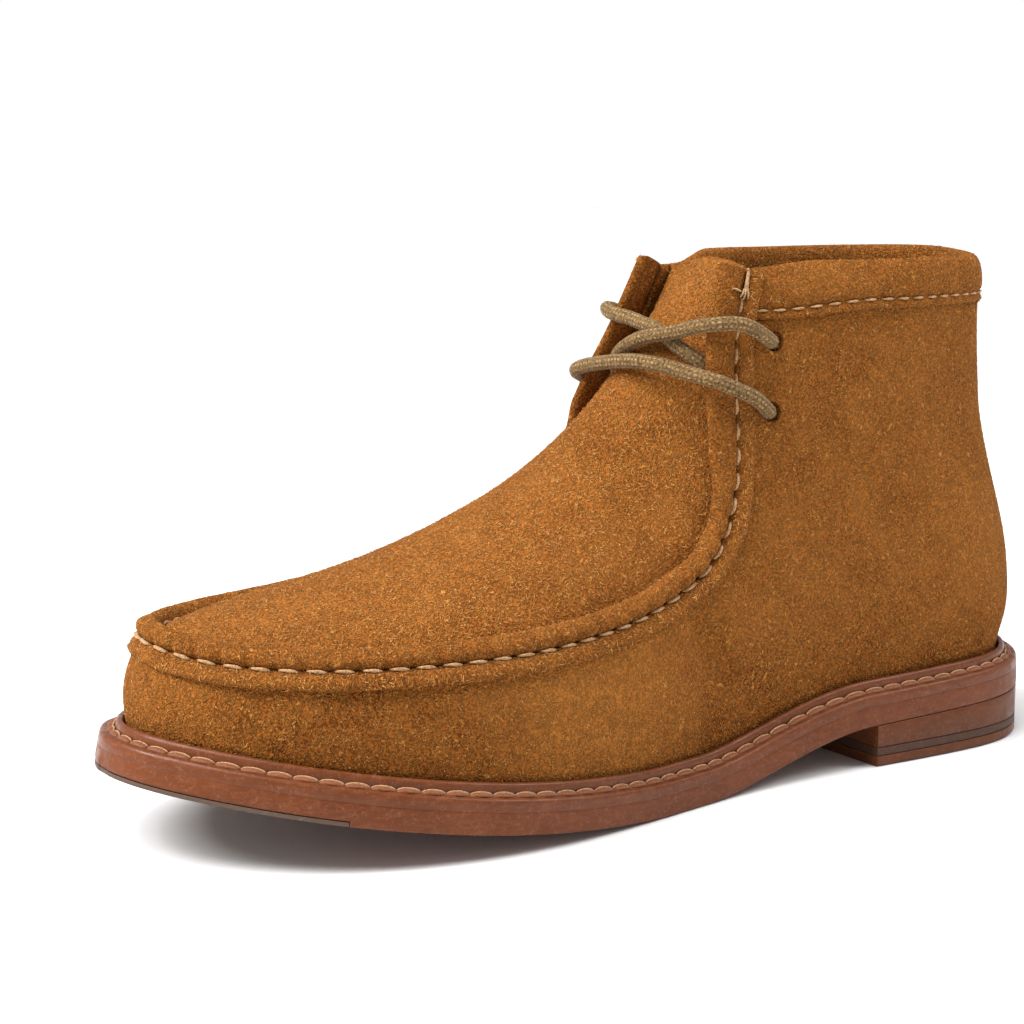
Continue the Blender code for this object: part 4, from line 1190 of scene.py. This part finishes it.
class Finish:
    """A Principled material with short helpers; sizes are in millimetres."""

    def __init__(self, name, roughness, specular, sheen=0.0, sheen_tint=(1, 1, 1)):
        self.mat = bpy.data.materials.new(name)
        self.mat.use_nodes = True
        self.tree = self.mat.node_tree
        self.shader = self.tree.nodes["Principled BSDF"]
        set_inputs(self.shader, Roughness=roughness, Specular_IOR_Level=specular,
                   Sheen_Weight=sheen, Sheen_Roughness=0.45, Sheen_Tint=(*sheen_tint, 1.0))
        self.place = self.node("ShaderNodeTexCoord").outputs["Object"]

    def node(self, kind, **settings):
        made = self.tree.nodes.new(kind)
        for key, value in settings.items():
            setattr(made, key, value)
        return made

    def feed(self, socket, value):
        if isinstance(value, bpy.types.NodeSocket):
            self.tree.links.new(value, socket)
        else:
            socket.default_value = value

    def noise(self, size, detail=2.0, distortion=0.0, stretch=None):
        made = self.node("ShaderNodeTexNoise")
        source = self.place
        if stretch:
            mapping = self.node("ShaderNodeMapping")
            set_inputs(mapping, Scale=stretch)
            self.feed(mapping.inputs["Vector"], self.place)
            source = mapping.outputs["Vector"]
        self.feed(made.inputs["Vector"], source)
        set_inputs(made, Scale=1000.0 / size, Detail=detail, Distortion=distortion)
        return made.outputs["Fac"]

    def remap(self, value, low, high, to_low=0.0, to_high=1.0):
        made = self.node("ShaderNodeMapRange", interpolation_type="SMOOTHSTEP")
        set_inputs(made, From_Min=low, From_Max=high, To_Min=to_low, To_Max=to_high)
        self.feed(made.inputs["Value"], value)
        return made.outputs["Result"]

    def maths(self, operation, first, second=0.0):
        made = self.node("ShaderNodeMath", operation=operation)
        self.feed(made.inputs[0], first)
        self.feed(made.inputs[1], second)
        return made.outputs[0]

    def times(self, first, second):
        return self.maths("MULTIPLY", first, second)

    def plus(self, first, second):
        return self.maths("ADD", first, second)

    def curls(self, size, width, distortion):
        """Thin curly lines, as of short fibres: where a noise crosses its middle value."""
        value = self.noise(size, 0.0, distortion)
        away = self.maths("ABSOLUTE", self.maths("SUBTRACT", value, 0.5))
        return self.remap(away, width, 0.0)

    def mix(self, amount, first, second):
        made = self.node("ShaderNodeMix", data_type="RGBA")
        self.feed(made.inputs["Factor"], amount)
        for socket, colour in ((made.inputs[6], first), (made.inputs[7], second)):
            self.feed(socket, (*colour, 1.0) if isinstance(colour, tuple) else colour)
        return made.outputs[2]

    def near(self, spot, reach):
        """1 at a spot on the object, falling softly to 0 at its reach."""
        made = self.node("ShaderNodeVectorMath", operation="DISTANCE")
        self.feed(made.inputs[0], self.place)
        made.inputs[1].default_value = spot
        return self.remap(made.outputs["Value"], reach, 0.0)

    def parts_of(self, vector):
        made = self.node("ShaderNodeSeparateXYZ")
        self.feed(made.inputs[0], vector)
        return made.outputs

    def bump(self, height, distance, strength=1.0, under=None):
        made = self.node("ShaderNodeBump")
        set_inputs(made, Distance=distance * MM, Strength=strength)
        self.feed(made.inputs["Height"], height)
        if under is not None:
            self.feed(made.inputs["Normal"], under)
        return made.outputs["Normal"]

    def done(self, colour, normal, roughness=None):
        self.feed(self.shader.inputs["Base Color"], colour)
        self.feed(self.shader.inputs["Normal"], normal)
        if roughness is not None:
            self.feed(self.shader.inputs["Roughness"], roughness)
        return self.mat


# Colours, in linear light.
SUEDE_DARK = (0.050, 0.0115, 0.0015)
SUEDE_MID = (0.218, 0.061, 0.0085)
SUEDE_LIGHT = (0.52, 0.200, 0.038)
SUEDE_FIBRE = ((0.32, 0.12, 0.022), (0.68, 0.33, 0.095))
SOLE_BROWN = ((0.136, 0.035, 0.0092), (0.245, 0.080, 0.029))       # base, and its light parts
WELT_BROWN = ((0.130, 0.034, 0.0090), (0.235, 0.078, 0.029))
HEEL_BROWN = ((0.112, 0.032, 0.0095), (0.18, 0.062, 0.024))
BAND_BROWN = ((0.055, 0.020, 0.0085), (0.10, 0.045, 0.024))
TOE_PLATE_BROWN = ((0.085, 0.048, 0.031), (0.15, 0.095, 0.066))
CREAM_THREAD = ((0.50, 0.295, 0.138), (0.26, 0.122, 0.043))        # pale, and in shadow
TAN_THREAD = ((0.215, 0.068, 0.023), (0.125, 0.036, 0.012))
# Lace: painted shade between the strands, and a painted highlight on their tops.
LACE_SHADED_AND_LIT = ((0.046, 0.024, 0.008), (0.43, 0.265, 0.110))
LACE_FIBRE = ((0.10, 0.058, 0.023), (0.32, 0.20, 0.09))

# Paler patches painted on the wall, in metres: spot, reach, strength. This is painted light, where
# the bulging vamp and heel quarter would catch more of it.
PAINTED_LIGHT_WALL = (((0.048, -0.026, 0.034), 0.062, 0.32), ((0.036, 0.118, 0.062), 0.045, 0.15))


def suede(name, painted_light_scale=1.0, wear_and_painted_light=()):
    """Napped suede: short curly fibres over a mottled ground."""
    finish = Finish(name, 0.95, 0.06, 0.06, (1.0, 0.55, 0.22))
    # The first factor scales all three colours: painted light, for a piece that faces the light.
    dark, mid, light = (tuple(painted_light_scale * v for v in c) for c in (SUEDE_DARK, SUEDE_MID, SUEDE_LIGHT))
    patches = finish.remap(finish.noise(38.0, 3.0, 0.6), 0.36, 0.64)
    brushed = finish.remap(finish.noise(9.0, 2.5, 0.8), 0.38, 0.62)
    grain = finish.noise(0.7, 1.0, 0.5)
    long_curls = finish.curls(2.2, 0.08, 1.7)
    short_curls = finish.curls(1.5, 0.10, 1.4)
    breaks = finish.remap(finish.noise(2.4, 0.0), 0.47, 0.53)
    more = finish.remap(finish.noise(1.6, 0.0), 0.44, 0.52)
    fibres = finish.times(long_curls, breaks)
    fibres = finish.maths("MAXIMUM", fibres, finish.times(short_curls, more))
    ground = finish.mix(finish.remap(grain, 0.42, 0.55), dark, mid)
    # painted shade: the wall's colour darkens towards the welt, where shade falls
    painted_shade_by_height = finish.remap(finish.parts_of(finish.place)["Z"], 0.016, 0.058)
    tone_and_painted_light = finish.times(finish.plus(patches, brushed), 0.10)
    tone_and_painted_light = finish.plus(tone_and_painted_light, finish.times(painted_shade_by_height, 0.14))
    # painted light: each spot paints the wall paler round it, where a bulge would catch more light
    for spot, reach, strength in wear_and_painted_light:
        painted_light_patch = finish.times(finish.near(spot, reach), strength)
        tone_and_painted_light = finish.plus(tone_and_painted_light, painted_light_patch)
    colour = finish.mix(tone_and_painted_light, ground, light)
    colour = finish.mix(finish.times(fibres, 0.8), colour, light)
    nap = finish.plus(finish.times(grain, 0.6), finish.times(fibres, 0.6))
    normal = finish.bump(finish.noise(5.0, 2.0), 0.5, 0.35)
    normal = finish.bump(nap, 1.6, 1.0, normal)
    return finish.done(colour, normal)


def loose_fibre(name, low, high):
    """Single fibres that stand off the nap."""
    finish = Finish(name, 0.8, 0.15, 0.1, (1.0, 0.7, 0.4))
    colour = finish.mix(finish.remap(finish.noise(1.6, 1.0), 0.35, 0.65), low, high)
    return finish.done(colour, finish.bump(finish.noise(0.3, 1.0), 0.02, 0.3))


def sole_leather(name, base, light, gloss=0.18, smooth=0.0):
    """Waxed sole leather: fine grain, faint layers, paler flecks."""
    finish = Finish(name, 0.45, gloss)
    cloud = finish.remap(finish.noise(14.0, 4.0, 0.4), 0.3, 0.7)
    flecks = finish.remap(finish.noise(0.55, 1.0, 0.3), 0.60, 0.72)
    streaks = finish.noise(0.9, 2.0, 0.2, (0.2, 0.2, 1.0))
    dark = tuple(0.62 * v for v in base)
    colour = finish.mix(finish.times(cloud, 0.45), base, dark)
    colour = finish.mix(finish.times(finish.remap(streaks, 0.4, 0.7), 0.2), colour, light)
    colour = finish.mix(finish.times(flecks, 0.3), colour, light)
    scuffs = finish.curls(1.0, 0.07, 0.8)
    scuffs = finish.times(scuffs, finish.remap(finish.noise(1.5, 0.0), 0.52, 0.58))
    colour = finish.mix(finish.times(scuffs, 0.28), colour, tuple(v + 0.06 for v in light))
    normal = finish.bump(finish.noise(0.7, 3.0), 0.12, 0.5)
    normal = finish.bump(streaks, 0.2, 0.1, normal)
    rough = finish.remap(finish.noise(4.0, 3.0), 0.3, 0.7, 0.32 - smooth, 0.52 - smooth)
    return finish.done(colour, normal, rough)


def dull_layer(name, base, light):
    """Dull, slightly dusty layer at the edge of the sole."""
    finish = Finish(name, 0.6, 0.35)
    dust = finish.remap(finish.noise(1.2, 3.0), 0.5, 0.75)
    colour = finish.mix(finish.times(dust, 0.5), base, light)
    return finish.done(colour, finish.bump(finish.noise(0.6, 2.0), 0.1, 0.5))


def insole_leather():
    finish = Finish("insole_leather", 0.6, 0.3)
    grain = finish.noise(1.1, 3.0, 0.3)
    wear_and_painted_light = finish.remap(finish.noise(30.0, 3.0), 0.3, 0.7)
    colour = finish.mix(wear_and_painted_light, (0.36, 0.19, 0.085), (0.46, 0.27, 0.13))
    colour = finish.mix(finish.times(grain, 0.4), colour, (0.28, 0.14, 0.06))
    return finish.done(colour, finish.bump(grain, 0.15, 0.6))


def thread(name, pale, shadow):
    """Waxed thread: fine fibres that run along it."""
    finish = Finish(name, 0.6, 0.3, 0.2, (1.0, 0.9, 0.75))
    fibre = finish.noise(0.45, 2.0, 0.3)
    colour = finish.mix(finish.remap(fibre, 0.3, 0.65), shadow, pale)
    return finish.done(colour, finish.bump(fibre, 0.12, 0.6))


def lace_cord():
    """Olive-taupe braid, with a painted highlight on top of each strand and painted shade between
    them.
    """
    finish = Finish("lace_cord", 0.85, 0.15, 0.15, (0.9, 0.8, 0.6))
    place = finish.parts_of(finish.node("ShaderNodeUVMap").outputs["UV"])
    run = finish.times(place["X"], 2 * math.pi / LACE_STEP)
    turn = finish.times(place["Y"], 2 * math.pi * LACE_ROWS)
    rows = finish.remap(finish.maths("COSINE", turn), -0.4, 0.9)
    dashes = finish.remap(finish.maths("COSINE", run), -0.8, 0.4)
    weave = finish.times(rows, dashes)
    fibre = finish.noise(0.6, 3.0, 0.6)
    blur = finish.remap(finish.noise(2.4, 2.0, 0.6), 0.35, 0.65, 0.25, 1.0)
    weave = finish.times(weave, blur)
    # painted light: the plaits' tops are painted paler and the gaps between them darker, as
    # painted shade; the fibre noise is the cord's own mottling
    top = finish.plus(finish.times(weave, 0.36), fibre)
    colour = finish.mix(finish.remap(top, 0.25, 1.05), *LACE_SHADED_AND_LIT)
    normal = finish.bump(fibre, 0.2, 0.9)
    normal = finish.bump(weave, 0.2, 0.6, normal)
    return finish.done(colour, normal)


def pale_floor():
    finish = Finish("pale_floor", 0.75, 0.2)
    tint = finish.mix(finish.noise(900.0, 1.0), (0.84, 0.84, 0.84), (0.86, 0.86, 0.86))
    return finish.done(tint, finish.bump(finish.noise(3.0, 1.0), 0.05, 0.1))


# ---- Camera, light and floor ----
CAMERA_AT = (0.5118, -0.3499, 0.1752)
CAMERA_LOOKS = (-0.83692, 0.52406, -0.15791)
CAMERA_LENS = 78.0
SUN_ALONG = (0.06, -0.42, 0.90)
SUN_STRENGTH = 3.15
SUN_WIDTH = 34                # degrees; a wide one lights like a large softbox
LAMPS_AIM = (0.0, 0.0, 0.05)
FLOOR_BELOW = 0.0001


def make_camera():
    data = bpy.data.cameras.new("camera")
    data.lens = CAMERA_LENS
    data.sensor_width = 36.0
    data.clip_start = 0.01
    camera = add_object("camera", data)
    camera.location = CAMERA_AT
    camera.rotation_euler = Vector(CAMERA_LOOKS).to_track_quat("-Z", "Y").to_euler()
    bpy.context.scene.camera = camera


def make_light(name, place, size, watts):
    data = bpy.data.lights.new(name, "AREA")
    data.shape = "SQUARE"
    data.size = size
    data.energy = watts
    light = add_object(name, data)
    light.location = place
    light.rotation_euler = (Vector(LAMPS_AIM) - Vector(place)).to_track_quat("-Z", "Y").to_euler()


# White studio walls up to the first height of the sky, and a softer ceiling above the second.
SKY = (0.10, 0.30, 1.0, 0.34)


def make_studio():
    bpy.context.scene.view_settings.view_transform = "Standard"
    world_light = bpy.data.worlds.new("studio")
    world_light.use_nodes = True
    nodes, links = world_light.node_tree.nodes, world_light.node_tree.links
    split = nodes.new("ShaderNodeSeparateXYZ")
    links.new(nodes.new("ShaderNodeTexCoord").outputs["Generated"], split.inputs[0])
    overhead = nodes.new("ShaderNodeMapRange")
    set_inputs(overhead, From_Min=SKY[0], From_Max=SKY[1], To_Min=SKY[2], To_Max=SKY[3])
    links.new(split.outputs["Z"], overhead.inputs["Value"])
    links.new(overhead.outputs["Result"], nodes["Background"].inputs["Strength"])
    set_inputs(nodes["Background"], Color=(1.0, 1.0, 1.0, 1.0))
    bpy.context.scene.world = world_light
    make_light("left", (-0.25, -1.00, 0.90), 0.45, 16.0)
    make_light("heel", (0.45, 0.75, 0.90), 0.5, 7.0)
    softbox = bpy.data.lights.new("overhead", "SUN")
    softbox.energy = SUN_STRENGTH
    softbox.angle = math.radians(SUN_WIDTH)
    lamp = add_object("overhead", softbox)
    lamp.rotation_euler = Vector(SUN_ALONG).to_track_quat("Z", "Y").to_euler()
    bm = bmesh.new()
    bmesh.ops.create_grid(bm, x_segments=2, y_segments=2, size=6.0)
    floor = add_object("floor", mesh_from("floor", bm))
    floor.location = (0.0, 0.0, -FLOOR_BELOW)
    floor.data.materials.append(pale_floor())


# ---- Assembly ----
# Loose fibres: how many, their length and their width.
NAP_WALL = (17000, 1.6, 0.12)
NAP_APRON = (13000, 1.4, 0.085)
NAP_EDGES = (13000, 1.4, 0.10)
NAP_LACE = (5200, 0.9, 0.05)
LIP_OUTSIDE = 10              # corners of the lip's section that show


def main():
    make_camera()
    make_studio()
    lace_line = curve_through(lace_route(), 0.33)
    brown = sole_leather("sole_leather", *SOLE_BROWN)
    heel_brown = sole_leather("heel_leather", *HEEL_BROWN)
    band = dull_layer("heel_band_brown", *BAND_BROWN)
    plate_brown = dull_layer("toe_plate_brown", *TOE_PLATE_BROWN)
    cream = thread("cream_thread", *CREAM_THREAD)
    tan = thread("tan_thread", *TAN_THREAD)
    make_outsole(brown)
    make_toe_plate(plate_brown)
    make_heel(heel_brown, band)
    make_insole(insole_leather())
    make_welt(sole_leather("welt_leather", *WELT_BROWN, 0.22, 0.05))
    make_welt_stitches(tan, cream)
    wall = make_upper(suede("suede_wall", 1.0, PAINTED_LIGHT_WALL))
    # painted light: the apron's suede is 1.14 times paler, a painted highlight for the top of the
    # boot, which faces the light
    apron = make_apron(suede("suede_apron", 1.14), lace_line)
    seam_suede = suede("suede_seam")
    lip = seam_lip(seam_suede)
    roll = make_roll(seam_suede)
    collar = make_collar(suede("suede_collar"))
    fibre = loose_fibre("suede_fibre", *SUEDE_FIBRE)
    edges = [lip[:, :LIP_OUTSIDE], roll[:, :ROLL_ARC], collar]
    nap("nap_wall", [wall], *NAP_WALL, fibre, "suede", 1, away_from_eyelets)
    nap("nap_apron", [apron], *NAP_APRON, fibre, "suede", 2)
    nap("nap_edges", edges, *NAP_EDGES, fibre, "suede", 3)
    make_seam_stitches(cream)
    make_inner_stitches(cream)
    make_collar_stitches(cream)
    make_tacks(cream)
    braid = make_lace(lace_cord(), lace_line)
    nap("nap_lace", [braid], *NAP_LACE, loose_fibre("lace_fibre", *LACE_FIBRE), "lace_cord", 4)


main()
